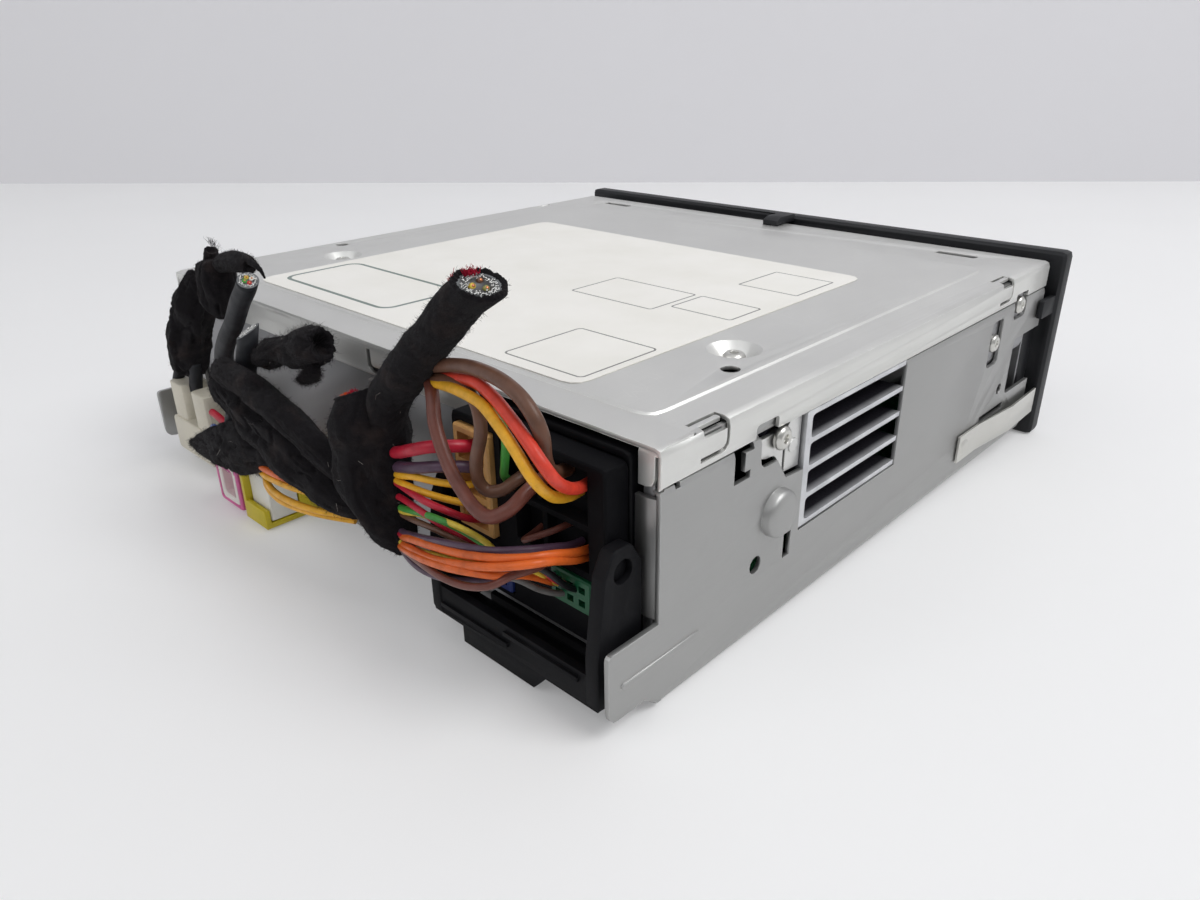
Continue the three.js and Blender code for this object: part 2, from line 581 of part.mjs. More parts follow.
function topCover() {
  const top = chassis.height;
  const profile = foldedSheet([
    [halfWidth, skirtEdge], [halfWidth, top, cover.bend], [-halfWidth, top, cover.bend], [-halfWidth, skirtEdge],
  ], cover.sheet);
  let body = prism(profile, 'y', [frontY, rearY], 2);
  const rearProfile = foldedSheet([
    [rearY, top - cover.rearSkirt], [rearY, top, cover.bend], [rearY - cover.fieldRear, top],
  ], cover.sheet);
  const rearHalf = halfWidth - cover.sheet - cover.cornerSlit;
  const rearFoot = [top - cover.rearSkirt - overrun, top - cover.rearSkirt + cover.skirtCorner];
  const rearY2 = [rearY - 2 * cover.sheet, rearY + overrun];
  const corners = cut(
    block([-rearHalf, rearHalf], rearY2, rearFoot),
    prism(rounded(
      [-rearHalf, rearHalf], [top - cover.rearSkirt, top], cover.skirtCorner,
    ), 'y', [rearY2[0] - overrun, rearY2[1] + overrun], 2),
  );
  const underFold = [top - cover.rearSkirt - overrun, top - cover.bend - cover.sheet];
  const rearSkirt = prism(rearProfile, 'x', [-halfWidth + cover.sheet / 2, halfWidth - cover.sheet / 2], 2);
  body = body.add(cut(rearSkirt, corners));
  onBothSides((side) => {
    const slit = [side * rearHalf, side * (halfWidth - cover.sheet)].sort((a, b) => a - b);
    body = body.subtract(block(slit, rearY2, underFold));
  });
  const fieldX = [-halfWidth + cover.fieldSide, halfWidth - cover.fieldSide];
  const fieldY = [frontY + cover.fieldFront, rearY - cover.fieldRear];
  const rise = cover.fieldRise;
  const run = cover.fieldRun;
  const field = rounded(fieldX, fieldY, cover.fieldCorner);
  body = body.add(chamfered(field, 'z', [top - cover.sheet - rise / 2, fieldTop], rise));
  const hollow = rounded([fieldX[0] + run, fieldX[1] - run], [fieldY[0] + run, fieldY[1] - run], cover.fieldCorner - run);
  body = body.subtract(prism(hollow, 'z', [coverUnder - overrun, fieldTop - cover.sheet]));
  onBothSides((side) => {
    for (const rear of lanceRearPlaces) body = cut(body, ...lanceCutters(side, rearY - rear));
    const skirt = side < 0 ? [-halfWidth - overrun, -lipOuter - gap / 2] : [lipOuter + gap / 2, halfWidth + overrun];
    const upper = frontY + slotUpper.front;
    body = body.subtract(block(skirt, [upper, upper + slotUpper.length], [0, skirtEdge + slotUpper.corner]));
  });
  const notchRear = rearY - skirtNotch.rear;
  body = body.subtract(prism(outline([
    [notchRear - skirtNotch.length, skirtEdge - overrun], [notchRear, skirtEdge - overrun],
    [notchRear, skirtEdge + skirtNotch.height, overrun], [notchRear - skirtNotch.length, skirtEdge + skirtNotch.height, overrun],
  ]), 'x', [-halfWidth - overrun, -lipOuter - gap / 2]));
  for (const place of coverHolePlaces) {
    const hole = disc(fromWall(place), rearY - place.rear, coverHole.radius, coverHole.sides);
    body = body.subtract(prism(hole, 'z', [coverUnder - overrun, fieldTop + overrun]));
  }
  onBothSides((side) => {
    const outer = halfWidth - frontSlot.wall;
    const x = [side * outer, side * (outer - frontSlot.length)].sort((a, b) => a - b);
    const y = [frontY + frontSlot.front, frontY + frontSlot.front + frontSlot.width];
    body = body.subtract(prism(rounded(x, y, frontSlot.width / 3), 'z', [coverUnder - overrun, top + overrun]));
  });
  const [left, right] = [rearLance.centre - lance.length / 2, rearLance.centre + lance.length / 2];
  const tongue = skirtEdge + rearLance.slit;
  body = body.subtract(cut(
    prism(outline([
      [left, skirtEdge], [right, skirtEdge, lance.corner], [right, skirtEdge + lance.height],
      [left, skirtEdge + lance.height],
    ]), 'y', rearY2),
    prism(outline([
      [left - lance.length, tongue], [right - rearLance.slit, tongue, lance.corner - rearLance.slit],
      [right - rearLance.slit, tongue + lance.height], [left - lance.length, tongue + lance.height],
    ]), 'y', [rearY2[0] - overrun, rearY2[1] + overrun]),
  ));
  const hookY = frontY + hook.reach - hook.tip - bezel.standoff;
  body = body.subtract(block(
    [hook.centre - hook.width / 2 - gap, hook.centre + hook.width / 2 + gap], [hookY - gap, hookY + hook.tip + gap],
    [coverUnder - overrun, top + overrun],
  ));
  const m = panel.portMargin;
  body = body.subtract(block(
    [headerRight - m, headerRight + header.width + m], [rearY - 2 * cover.sheet, rearY + overrun],
    [skirtEdge - overrun, header.top + m],
  ));
  for (const place of coverScrewPlaces) {
    const { mouth, cup } = dimpleCup(fromWall(place), rearY - place.rear);
    body = body.subtract(mouth).add(cup);
  }
  return body;
}

// A pan-head screw seen from its own head: the head's seat is at height 0
function screwSolid(axis, place, flip) {
  const { headRadius: r, headHeight: h, shankRadius: s, shankLength: l, drive: d, driveDepth: k } = screw;
  const [rimHeight, crown] = [h * headShares.rim, r * headShares.crown];
  const profile = [[0, -l], [s, -l], [s, 0], [r, 0], [r, rimHeight], [crown, h], [d, h], [d, h - k], [0, h - k]];
  const ordered = flip ? profile.map(([u, v]) => [u, -v]).reverse() : profile;
  return turned(ordered, axis, place, screw.sides);
}

function ratingLabel() {
  const y = rearY - label.rear;
  const z = fieldTop + label.glue;
  return prism(
    rounded([-label.width / 2, label.width / 2], [y - label.length, y], label.corner), 'z', [z, z + label.thickness],
  );
}

// Rear panel with a port for the big header and one for each small plug
function rearPanel() {
  const half = lipInner - gap;
  const floor = tray.sheet + gap;
  const profile = foldedSheet([
    [panelFront - panel.floorFlange, floor], [panelRear, floor, tray.bend], [panelRear, coverUnder - 2 * gap],
  ], panel.sheet);
  const body = prism(profile, 'x', [-half, half], 2);
  const y = [panelFront - overrun, panelRear + overrun];
  const m = panel.portMargin;
  const port = (x, z) => block(x, y, z);
  const headerX = [headerRight - m, headerRight + header.width + m];
  const around = ([a, b]) => [a - m, b + m];
  const lanceX = [rearLance.centre - lance.length / 2, rearLance.centre + lance.length / 2];
  const noseFloor = smallNose.floor - gap;
  return cut(
    body, port(headerX, [header.floor - m, chassis.height]),
    port(around(whiteX), around([whitePlug.floor, whitePlug.floor + whitePlug.height])),
    port(around([magentaX[0] + smallNose.side, magentaX[1] - smallNose.side]), [noseFloor, smallNose.top + m]),
    port(around([yellowX[0] + smallNose.side, yellowX[1] - smallNose.side]), [noseFloor, smallNose.top + m]),
    port([lanceX[0] - rearLance.window, lanceX[1] + rearLance.window], [skirtEdge - rearLance.window, chassis.height]),
  );
}

// Shroud of the big header, open to the rear, with key ribs outside
function connectorHeader() {
  const x = [headerRight, headerRight + header.width];
  const z = [header.floor, header.top];
  const y = [rearY - header.depth, rearY + header.rearGap];
  const w = header.wall;
  const body = chamfered(rounded(x, z, w), 'y', y, w / 4, 2);
  const mouth = prism(rounded([x[0] + w, x[1] - w], [z[0] + w, z[1] - w], w / 2), 'y', [y[0] + w, y[1] + overrun], 2);
  return cut(body, mouth);
}

const pocketX = ({ side, width }) => [plugX[1] - side - width, plugX[1] - side];
const pocketZ = ({ floor, height }) => [floor, floor + height];

// Black plug: a nose inside the header, a larger rim behind it and five pockets open to the rear
function plugHousing() {
  const w = header.wall + plug.noseGap;
  const faceY = rearY + header.rearGap + gap;
  const noseX = [plugX[0] + w, plugX[1] - w];
  const noseZ = [header.floor + w, header.top - w];
  const rimShape = rounded(plugX, [plug.floor, plug.floor + plug.height], plug.rim);
  const rim = chamfered(rimShape, 'y', [faceY, plugRear], plug.rim / 3, 2);
  const nose = block(noseX, [faceY - plug.nose, faceY + gap], noseZ);
  let body = rim.add(nose);
  const pocketY = [plugRear - plug.pocket, plugRear + overrun];
  for (const pocket of [tanInsert, powerPocket, middlePocket, blueInsert, greenInsert]) {
    body = body.subtract(block(pocketX(pocket), pocketY, pocketZ(pocket)));
  }
  const ribs = [powerPocket, middlePocket].map((pocket, i) => {
    const [x0, x1] = pocketX(pocket);
    const middle = x0 + (x1 - x0) * pocketRibShares[i];
    const [z0, z1] = pocketZ(pocket);
    return block([middle, middle + plug.rib], [pocketY[0] - gap, plugRear - plug.rib], [z0 - gap, z1 + gap]);
  });
  body = join(body, ...ribs);
  const pins = [
    [plugX[0] - lever.pinReach, plugX[0] + overrun], [plugX[1] - overrun, plugX[1] + lever.pinReach],
  ].map((x) => prism(disc(pivotY, lever.pivotHeight, lever.pin, lever.sides), 'x', x));
  return join(body, ...pins);
}

// A coloured insert that fills its pocket to the clearance, with open cells in its face
function insert(size, cellsAcross, cellsUp) {
  const [x0, x1] = pocketX(size);
  const [z0, z1] = pocketZ(size);
  const y = [plugRear - plug.pocket + gap, plugRear + size.proud];
  let body = chamfered(
    rounded([x0 + gap, x1 - gap], [z0 + gap, z1 - gap], gap), 'y', y, gap, 1,
  );
  const web = cell.web;
  const stepX = (x1 - x0 - 2 * gap - web) / cellsAcross;
  const stepZ = (z1 - z0 - 2 * gap - web) / cellsUp;
  for (let i = 0; i < cellsAcross; i++) {
    for (let j = 0; j < cellsUp; j++) {
      const cx = x0 + gap + web + i * stepX;
      const cz = z0 + gap + web + j * stepZ;
      body = body.subtract(block(
        [cx, cx + stepX - web], [y[1] - cell.depth, y[1] + overrun], [cz, cz + stepZ - web],
      ));
    }
  }
  return body;
}

// U-shaped lock lever: two arms on the plug's pins, joined below the plug by a creased panel and a grip
function lockLever() {
  const outerX = [plugX[0] - gap - lever.arm, plugX[1] + gap + lever.arm];
  const hubTop = lever.pivotHeight + lever.hub;
  const armSide = outline([
    [armFloorY, lever.armFloor, plug.rim], [leverRear, lever.armFloor, plug.rim],
    [leverRear, lever.armFloor + lever.shoulder], [pivotY + lever.hub, lever.pivotHeight, lever.hub / 2],
    [pivotY + lever.hub / 2, hubTop, lever.hub / 3], [pivotY - lever.hub / 2, hubTop, lever.hub / 3],
    [armFloorY, lever.pivotHeight, lever.hub / 3],
  ]);
  const armX = [[outerX[0], plugX[0] - gap], [plugX[1] + gap, outerX[1]]];
  const boreX = [outerX[0] - overrun, outerX[1] + overrun];
  const bore = prism(disc(pivotY, lever.pivotHeight, lever.pin + gap, lever.sides), 'x', boreX);
  const arms = armX.map((x) => cut(chamfered(armSide, 'x', x, gap, 2), bore));
  const gripLow = lever.armFloor - lever.grip;
  const barTop = lever.armFloor + lever.barHeight;
  const rearWall = prism(outline([
    [outerX[0] + gap, lever.armFloor], [outerX[0] + lever.gripEnd, lever.armFloor],
    [outerX[0] + lever.gripEnd + lever.gripSlope, gripLow], [outerX[1] - lever.gripStart, gripLow],
    [outerX[1] - lever.gripStart, lever.armFloor], [outerX[1] - gap, lever.armFloor],
    [outerX[1] - gap, barTop], [outerX[0] + gap, barTop],
  ]), 'y', [leverRear - lever.barThick, leverRear - gap]);
  const shelf = block(
    [outerX[0] + gap, outerX[1] - gap], [leverRear - lever.shelf, leverRear - gap],
    [lever.armFloor + gap, lever.armFloor + lever.barThick],
  );
  const along = (share) => outerX[0] + share * (outerX[1] - outerX[0]);
  const creases = creaseSpanShares.map(([from, to], i) => {
    const z = lever.armFloor + lever.barHeight * creaseHeightShares[i];
    return block([along(from), along(to)], [leverRear - lever.barThick, leverRear - gap + lever.creaseRise], [
      z - lever.crease / 2, z + lever.crease / 2,
    ]);
  });
  return join(...arms, rearWall, shelf, ...creases);
}

// Cream antenna plug with two cable towers and the smaller plug beside it
function whiteConnector() {
  const x = whiteX;
  const z = [whitePlug.floor, whitePlug.floor + whitePlug.height];
  const y = [panelFront - socketDepth / 2, rearY + whitePlug.reach];
  const body = chamfered(rounded(x, z, whitePlug.corner), 'y', y, gap, 2);
  const towerY = [y[1] - whitePlug.tower - gap, y[1] - 2 * gap];
  const towers = [x[0] + gap, x[1] - gap - whitePlug.tower].map((x0) => chamfered(
    rounded([x0, x0 + whitePlug.tower], towerY, whitePlug.corner), 'z', [z[0] + overrun, whitePlug.towerTop], gap, 2,
  ));
  const small = chamfered(
    rounded([x[0] - smallPlug.width, x[0] + gap], [z[0] + gap, z[0] + smallPlug.height], whitePlug.corner),
    'y', [rearY + gap, rearY + smallPlug.reach], gap, 2,
  );
  return join(body, ...towers, small);
}

// The narrow front end of a small plug, which enters its port in the rear panel
function smallPlugNose(x) {
  return block(
    [x[0] + smallNose.side, x[1] - smallNose.side], [panelFront - socketDepth / 2, rearY + 2 * gap],
    [smallNose.floor, smallNose.top],
  );
}

function magentaConnector() {
  const { floor, height, reach, latch, latchRise, wall } = magentaPlug;
  const y = [rearY + gap, rearY + reach];
  const z = [floor, floor + height];
  const body = chamfered(rounded(magentaX, z, wall), 'y', y, gap, 2);
  const middle = (magentaX[0] + magentaX[1]) / 2;
  const latchBar = block(
    [middle - latch / 2, middle + latch / 2], [rearY + wall, y[1] - 3 * wall], [z[1] - gap, z[1] + latchRise],
  );
  const cavity = block(
    [magentaX[0] + wall, magentaX[1] - wall], [y[1] - 2 * wall, y[1] + overrun], [z[0] + wall, z[1] - wall],
  );
  return cut(join(body, latchBar, smallPlugNose(magentaX)), cavity);
}

// Yellow shell: a floor, a low rear wall, a far side wall and a solid front round the white insert
function yellowShell() {
  const { floor, height, reach, wall } = yellowPlug;
  const [x0, x1] = yellowX;
  const y = [rearY + gap, rearY + reach];
  const base = block([x0, x1], y, [floor, floor + wall]);
  const far = block([x1 - wall, x1], y, [floor, floor + height]);
  const rearWall = block([x0, x1], [y[1] - wall, y[1]], [floor, floor + height * yellowShares.rearWall]);
  const front = chamfered(
    rounded([x0, x1], [floor, floor + height * yellowShares.frontTop], gap), 'y',
    [y[0], rearY + reach * yellowShares.front], gap / 2, 1,
  );
  return join(base, far, rearWall, front, smallPlugNose(yellowX));
}

function yellowInsert() {
  const { floor, height, reach, wall } = yellowPlug;
  const y = [rearY + reach * yellowShares.front + gap, rearY + reach - wall - gap];
  return chamfered(
    rounded([yellowX[0], yellowX[1] - wall - gap], [floor + wall + gap, floor + height - gap], gap), 'y', y, gap, 1,
  );
}

piece('top_cover', topCover(), 0xc3c5c4, 0.36, 0.85);
piece('rating_label', ratingLabel(), 0xf1efe8, 0.6, 0);
coverScrewPlaces.forEach((place, i) => {
  const seat = [fromWall(place), rearY - place.rear, fieldTop - dimple.depth + gap];
  piece(`cover_screw_${i + 1}`, screwSolid('z', seat, false), 0xb9b9b6, 0.3, 0.9);
});
piece('rear_panel', rearPanel(), 0x9c9e9e, 0.45, 0.85);
piece('connector_header', connectorHeader(), 0x17181a, 0.55, 0);
piece('plug_housing', plugHousing(), 0x1c1d20, 0.5, 0);
piece('tan_insert', insert(tanInsert, 1, 3), 0xc39f68, 0.55, 0);
piece('blue_insert', insert(blueInsert, 5, 2), 0x27386b, 0.55, 0);
piece('green_insert', insert(greenInsert, 3, 2), 0x1c6a4a, 0.55, 0);
piece('lock_lever', lockLever(), 0x202124, 0.45, 0);
piece('white_connector', whiteConnector(), 0xd8d2c2, 0.55, 0);
piece('magenta_connector', magentaConnector(), 0xbd4f86, 0.5, 0);
piece('yellow_connector', yellowShell(), 0xc9bd2e, 0.5, 0);
piece('yellow_insert', yellowInsert(), 0xe4e1d8, 0.55, 0);

// Die-cast heat sink: fins across the window, joined by a spine, on a base with a foot for the amplifier
function heatSink() {
  const rear = rearY - sideWindow.rear - gap;
  const front = rear - sideWindow.length + 2 * gap;
  const outer = -halfWidth + comb.inset;
  const baseX = [outer + comb.depth, outer + comb.depth + comb.base];
  const z = [sideWindow.floor + gap, stepTop];
  const pitch = (z[1] - z[0] - comb.fin) / (comb.count - 1);
  let body = block([outer, baseX[1]], [front, rear], z);
  for (let i = 0; i < comb.count - 1; i++) {
    const low = z[0] + comb.fin + i * pitch;
    body = body.subtract(prism(outline([
      [front - overrun, low], [rear - comb.spine, low, comb.corner],
      [rear - comb.spine, low + pitch - comb.fin, comb.corner], [front - overrun, low + pitch - comb.fin],
    ]), 'x', [outer - overrun, baseX[0]], 2));
  }
  const foot = block(
    [baseX[0], baseX[0] + comb.footDepth], [front + comb.footEnd, rear - comb.footEnd],
    [boardTop + amplifier.height + gap, z[0] + comb.footHeight],
  );
  const [postY, postZ] = [rearY - combScrew.rear, combScrewZ];
  const arm = block(baseX, [rear - overrun, postY + bossPost.radius], [postZ - bossPost.radius, stepTop]);
  const postEnd = -halfWidth + bracket.inset + bracket.sheet + gap;
  const post = prism(disc(postY, postZ - bossPost.lower, bossPost.radius, bossPost.sides), 'x', [postEnd, baseX[1]]);
  const boreX = [postEnd - overrun, postEnd + bossPost.depth];
  const bore = prism(disc(postY, postZ, screw.shankRadius + gap, bossPost.sides), 'x', boreX);
  return cut(join(body, foot, arm, post), bore);
}

// Sheet bracket in front of the boss, with a pressed oval and the screw's hole
function heatSinkBracket() {
  const windowRear = rearY - sideWindow.rear;
  const x = [-halfWidth + bracket.inset, -halfWidth + bracket.inset + bracket.sheet];
  const flat = prism(shared(
    [windowRear + bracket.clear, windowRear + bracketCut.length - bracket.clear],
    [bracketCutZ + bracket.clear, skirtEdge - bracket.clear], bracketShares, bracketCut.corner,
  ), 'x', x);
  const ovalX = [x[0] - bracket.ovalRise, x[1]];
  const oval = prism(disc(rearY - bracket.ovalRear, skirtEdge - bracket.ovalDrop, bracket.oval, bracket.sides), 'x', ovalX);
  const through = [x[0] - overrun, x[1] + overrun];
  const hole = prism(disc(rearY - combScrew.rear, combScrewZ, screw.shankRadius + gap, bossPost.sides), 'x', through);
  const slit = block(
    through, [rearY - bracket.slitRear - bracket.slit, rearY - bracket.slitRear],
    [bracketCutZ, skirtEdge - bracket.slitDrop],
  );
  return cut(flat.add(oval), hole, slit);
}

// Leaf spring: a strip bowed away from the wall, held by one rivet near its rear end
function leafSpring(side) {
  const wallX = halfWidth + gap + leaf.sheet;
  const outerFace = leafShares.map(([along, out], i) => [
    side * (wallX + out * leaf.bulge), leafRear - along * leaf.length, i % (leafShares.length - 1) ? leaf.bend : 0,
  ]);
  const face = side < 0 ? outerFace : outerFace.slice().reverse();
  const strip = prism(foldedSheet(face, leaf.sheet), 'z', [leaf.floor, leaf.floor + leaf.width]);
  const { radius, head, top, rise } = rivet;
  const inner = halfWidth - tray.sheet - gap;
  const profile = [[0, inner], [radius, inner], [radius, wallX], [head, wallX], [top, wallX + rise], [0, wallX + rise]];
  const placed = side < 0 ? profile.map(([r, h]) => [r, -h]).reverse() : profile;
  return strip.add(turned(placed, 'x', [0, leafRear - leaf.end, leaf.floor + leaf.width / 2], rivet.sides));
}

// Moulded bezel: fascia plate, collar that enters the case, hooks over the cover and the side walls
function frontBezel() {
  const x = [-halfWidth - bezel.sideOver, halfWidth + bezel.sideOver];
  const z = [-bezel.bottomOver, chassis.height + bezel.topOver];
  let body = chamfered(rounded(x, z, bezel.corner), 'y', [bezelFace, bezelBack], bezel.edge, 2);
  const inset = ([a, b], d) => [a + d, b - d];
  const field = rounded(inset(x, bezel.field), inset(z, bezel.field), bezel.corner);
  body = body.subtract(prism(field, 'y', [bezelFace - overrun, bezelFace + bezel.fieldDepth], 2));
  const hollowInset = bezel.field + bezel.collarWall;
  const backHollow = rounded(inset(x, hollowInset), inset(z, hollowInset), bezel.corner);
  const plateBack = bezelFace + bezel.fieldDepth + bezel.plate;
  body = body.subtract(prism(backHollow, 'y', [plateBack, bezelBack + overrun], 2));
  const collarX = [-lipInner + gap, lipInner - gap];
  const collarZ = [bezel.collarFloor, chassis.height - bezel.collarDrop];
  const collarEnd = bezelBack + bezel.collarDepth;
  const collar = prism(rounded(collarX, collarZ, bezel.corner), 'y', [bezelBack - overrun, collarEnd], 2);
  const collarMouth = prism(
    rounded(inset(collarX, bezel.collarWall), inset(collarZ, bezel.collarWall), bezel.corner),
    'y', [plateBack, collarEnd + overrun], 2,
  );
  body = cut(body.add(collar), collarMouth);
  const slotX = [-discSlot.width / 2, discSlot.width / 2];
  const slotZ = [discSlot.centre - discSlot.height / 2, discSlot.centre + discSlot.height / 2];
  const slot = prism(rounded(slotX, slotZ, discSlot.corner), 'y', [bezelFace - overrun, bezelBack], 2);
  const flare = chamfered(
    rounded(inset(slotX, -discSlot.flare), inset(slotZ, -discSlot.flare), discSlot.corner), 'y',
    [bezelFace - overrun, bezelFace + bezel.fieldDepth + discSlot.flare], discSlot.flare, 2,
  );
  const buttonHole = prism(rounded(
    [buttonX - button.width / 2 - gap, buttonX + button.width / 2 + gap],
    [button.centre - button.height / 2 - gap, button.centre + button.height / 2 + gap], button.corner,
  ), 'y', [bezelFace - overrun, plateBack + overrun], 2);
  body = cut(body, slot, flare, buttonHole);
  const top = chassis.height;
  const hookX = [hook.centre - hook.width / 2, hook.centre + hook.width / 2];
  const hookEnd = bezelBack + hook.reach;
  const topHook = prism(outline([
    [bezelBack - overrun, top + gap], [hookEnd - hook.tip, top + gap], [hookEnd - hook.tip, coverUnder],
    [hookEnd, coverUnder], [hookEnd, top + hook.tipRise], [hookEnd - hook.tip, top + hook.rise],
    [bezelBack, top + hook.rise], [bezelBack - overrun, top + bezel.topOver - gap],
  ]), 'x', hookX);
  body = body.add(topHook);
  onBothSides((side) => {
    const inner = halfWidth + gap;
    const hookRange = [side * inner, side * (inner + hook.sideThick)].sort((a, b) => a - b);
    const [low, high] = [skirtEdge - hook.sideDrop, skirtEdge - hook.sideDrop + hook.sideHeight];
    body = body.add(prism(outline([
      [bezelBack - overrun, low], [bezelBack + hook.sideReach, low, gap], [bezelBack + hook.sideReach, high, gap],
      [bezelBack - overrun, high],
    ]), 'x', hookRange, 1));
  });
  return body;
}

// Eject button with a retaining flange, a stem for the switch and a thin moulded return arm
function ejectButton() {
  const plateBack = bezelFace + bezel.fieldDepth + bezel.plate;
  const x = [buttonX - button.width / 2, buttonX + button.width / 2];
  const z = [button.centre - button.height / 2, button.centre + button.height / 2];
  const cap = chamfered(rounded(x, z, button.corner), 'y', [bezelFace - button.proud, plateBack + 2 * gap], gap, 2);
  const flangeY = [plateBack + gap, plateBack + gap + button.flangeThick];
  const rim = ([a, b]) => [a - button.flange, b + button.flange];
  const flange = block(rim(x), flangeY, rim(z));
  const stemEnd = plateFront - button.travel - gap;
  const stem = prism(disc(buttonX, button.centre, button.stem, button.stemSides), 'y', [flangeY[0], stemEnd]);
  const arm = block(
    [x[0] - button.arm, x[0]], [flangeY[0], flangeY[0] + button.armThick],
    [button.centre - button.stem / 2, button.centre + button.stem / 2],
  );
  return join(cap, flange, stem, arm);
}

// Felt curtain behind the disc slot, slit along the disc's plane
function dustCurtain() {
  const back = bezelFace + bezel.fieldDepth + bezel.plate;
  const halfW = discSlot.width / 2;
  const halfH = discSlot.height / 2;
  const y = [back + gap, back + gap + felt.thick];
  const z = [discSlot.centre - halfH - felt.border, discSlot.centre + halfH + felt.border];
  const sheet = block([-halfW - felt.border, halfW + felt.border], y, z);
  const slit = block(
    [-halfW + felt.slitEnd, halfW - felt.slitEnd], [y[0] - overrun, y[1] + overrun],
    [discSlot.centre - felt.slit / 2, discSlot.centre + felt.slit / 2],
  );
  return sheet.subtract(slit);
}

function frontSheet() {
  const half = lipInner - gap;
  const floor = tray.sheet + gap;
  const profile = foldedSheet([
    [plateFront, coverUnder - gap], [plateFront, floor, tray.bend], [plateFront + frontPlate.floorFlange, floor],
  ], frontPlate.sheet);
  const body = prism(profile, 'x', [-half, half], 2);
  const m = frontPlate.slotMargin;
  const y = [plateFront - overrun, plateFront + frontPlate.sheet + overrun];
  const slot = block(
    [-discSlot.width / 2 - m, discSlot.width / 2 + m], y,
    [discSlot.centre - discSlot.height / 2 - m, discSlot.centre + discSlot.height / 2 + m],
  );
  return body.subtract(slot);
}

// Main board with its tuner can, amplifier, processor, capacitors and the sockets behind the plugs
function mainBoard() {
  const x = [-wallInner + board.side, wallInner - board.side];
  const y = [frontY + board.front, rearY - board.rear];
  const part = ({ side, width, rear, length, height }) => chamfered(
    rounded([side, side + width], [rearY - rear - length, rearY - rear], gap * 2), 'z',
    [boardTop - gap, boardTop + height], gap, 1,
  );
  const parts = [{ ...amplifier, side: amplifier.wall - halfWidth }, tuner, processor].map(part);
  for (let i = 0; i < capacitor.count; i++) {
    parts.push(prism(
      disc(capacitor.side + i * capacitor.pitch, rearY - capacitor.rear, capacitor.radius, capacitor.sides),
      'z', [boardTop - gap, boardTop + capacitor.height],
    ));
  }
  for (const plugRange of [whiteX, magentaX, yellowX]) {
    const back = Math.min(panelFront - socketDepth / 2 - gap, y[1]);
    const blockY = [back - socketBlock.depth, back];
    parts.push(block(plugRange, blockY, [boardTop - gap, boardTop + socketBlock.height]));
  }
  return join(block(x, y, [board.height, boardTop]), ...parts);
}

// Drive frame: an open pan, side tabs that the wall screws hold, and two tabs under the cover screws
function driveFrame() {
  const t = drive.sheet;
  const top = coverUnder - drive.headroom;
  const y = [driveFront, driveRear];
  const channel = foldedSheet([
    [-driveHalf, top], [-driveHalf, drive.floor, t], [driveHalf, drive.floor, t], [driveHalf, top],
  ], t);
  let body = prism(channel, 'y', y, 2);
  body = body.subtract(prism(rounded(
    [-driveHalf + driveOpening.side, driveHalf - driveOpening.side],
    [y[0] + driveOpening.front, y[1] - driveOpening.rear], driveOpening.corner,
  ), 'z', [drive.floor - overrun, driveFloorTop + overrun], 2));
  body = body.add(block([-driveHalf + t, driveHalf - t], [y[1] - t, y[1]], [drive.floor + t / 2, plateTop]));
  onBothSides((side) => {
    const outer = side * (wallInner - gap);
    const tabTop = skirtEdge - drive.tabDrop;
    const tab = foldedSheet(
      side < 0
        ? [[outer, tabTop], [outer, drive.tabFloor, t], [-driveHalf + t / 2, drive.tabFloor]]
        : [[driveHalf - t / 2, drive.tabFloor], [outer, drive.tabFloor, t], [outer, tabTop]],
      t,
    );
    const tabY = [frontY + drive.tabFront, frontY + drive.tabFront + drive.tabLength];
    body = body.add(prism(tab, 'y', tabY, 2));
    const wallRange = [outer, outer - side * t].sort((a, b) => a - b);
    const upper = frontY + slotUpper.front;
    const earZ = [tabTop - overrun, skirtEdge + drive.earRise];
    body = body.add(block(wallRange, [upper + gap, upper + slotUpper.length - gap], earZ));
    const through = [wallRange[0] - overrun, wallRange[1] + overrun];
    for (const [py, pz] of sideScrewPlaces()) {
      body = body.subtract(prism(disc(py, pz, screw.shankRadius + gap, boreSides), 'x', through));
    }
  });
  for (const place of coverScrewPlaces) {
    const [sign, x, rear] = [place.hand, fromWall(place), place.rear];
    const cupUnder = fieldTop - dimple.depth - cover.sheet;
    const z = [cupUnder - gap - drive.tabSheet, cupUnder - gap];
    const half = drive.coverTab / 2;
    const yTab = [rearY - rear - half, rearY - rear + half];
    const wallRange = [sign * (driveHalf - t), sign * driveHalf].sort((a, b) => a - b);
    const lift = block(wallRange, yTab, [top - overrun, z[1]]);
    const flat = block([x - half, x + half], yTab, z);
    const holeZ = [z[0] - 2 * overrun, z[1] + overrun];
    const hole = prism(disc(x, rearY - rear, screw.shankRadius + gap, boreSides), 'z', holeZ);
    body = cut(join(body, lift, flat), hole);
  }
  const bores = [
    [rollerY, roller.height, roller.shaft], [rearY - clamp.beamRear, clamp.height + clamp.sheet / 2, clamp.pin],
  ].map(([by, bz, r]) => prism(disc(by, bz, r + gap, boreSides), 'x', [-driveHalf - overrun, driveHalf + overrun]));
  return cut(body, ...bores);
}

// Places of the two drive screws along the wall and above its floor
function sideScrewPlaces() {
  return [
    [frontY + slotLower.front + slotLower.length / 2, slotLowerZ + slotLower.height / 2],
    [frontY + slotUpper.front + slotUpper.length / 2, slotUpperZ + screw.headRadius + 4 * gap],
  ];
}

function rubberDamper(hand) {
  const place = [hand * (driveHalf - damper.inset), spindleY + damper.behind, driveFloorTop + gap];
  const { radius, height, neck, sides } = damper;
  return turned([[0, 0], [radius, 0], [neck, height / 2], [radius, height], [0, height]], 'z', place, sides);
}

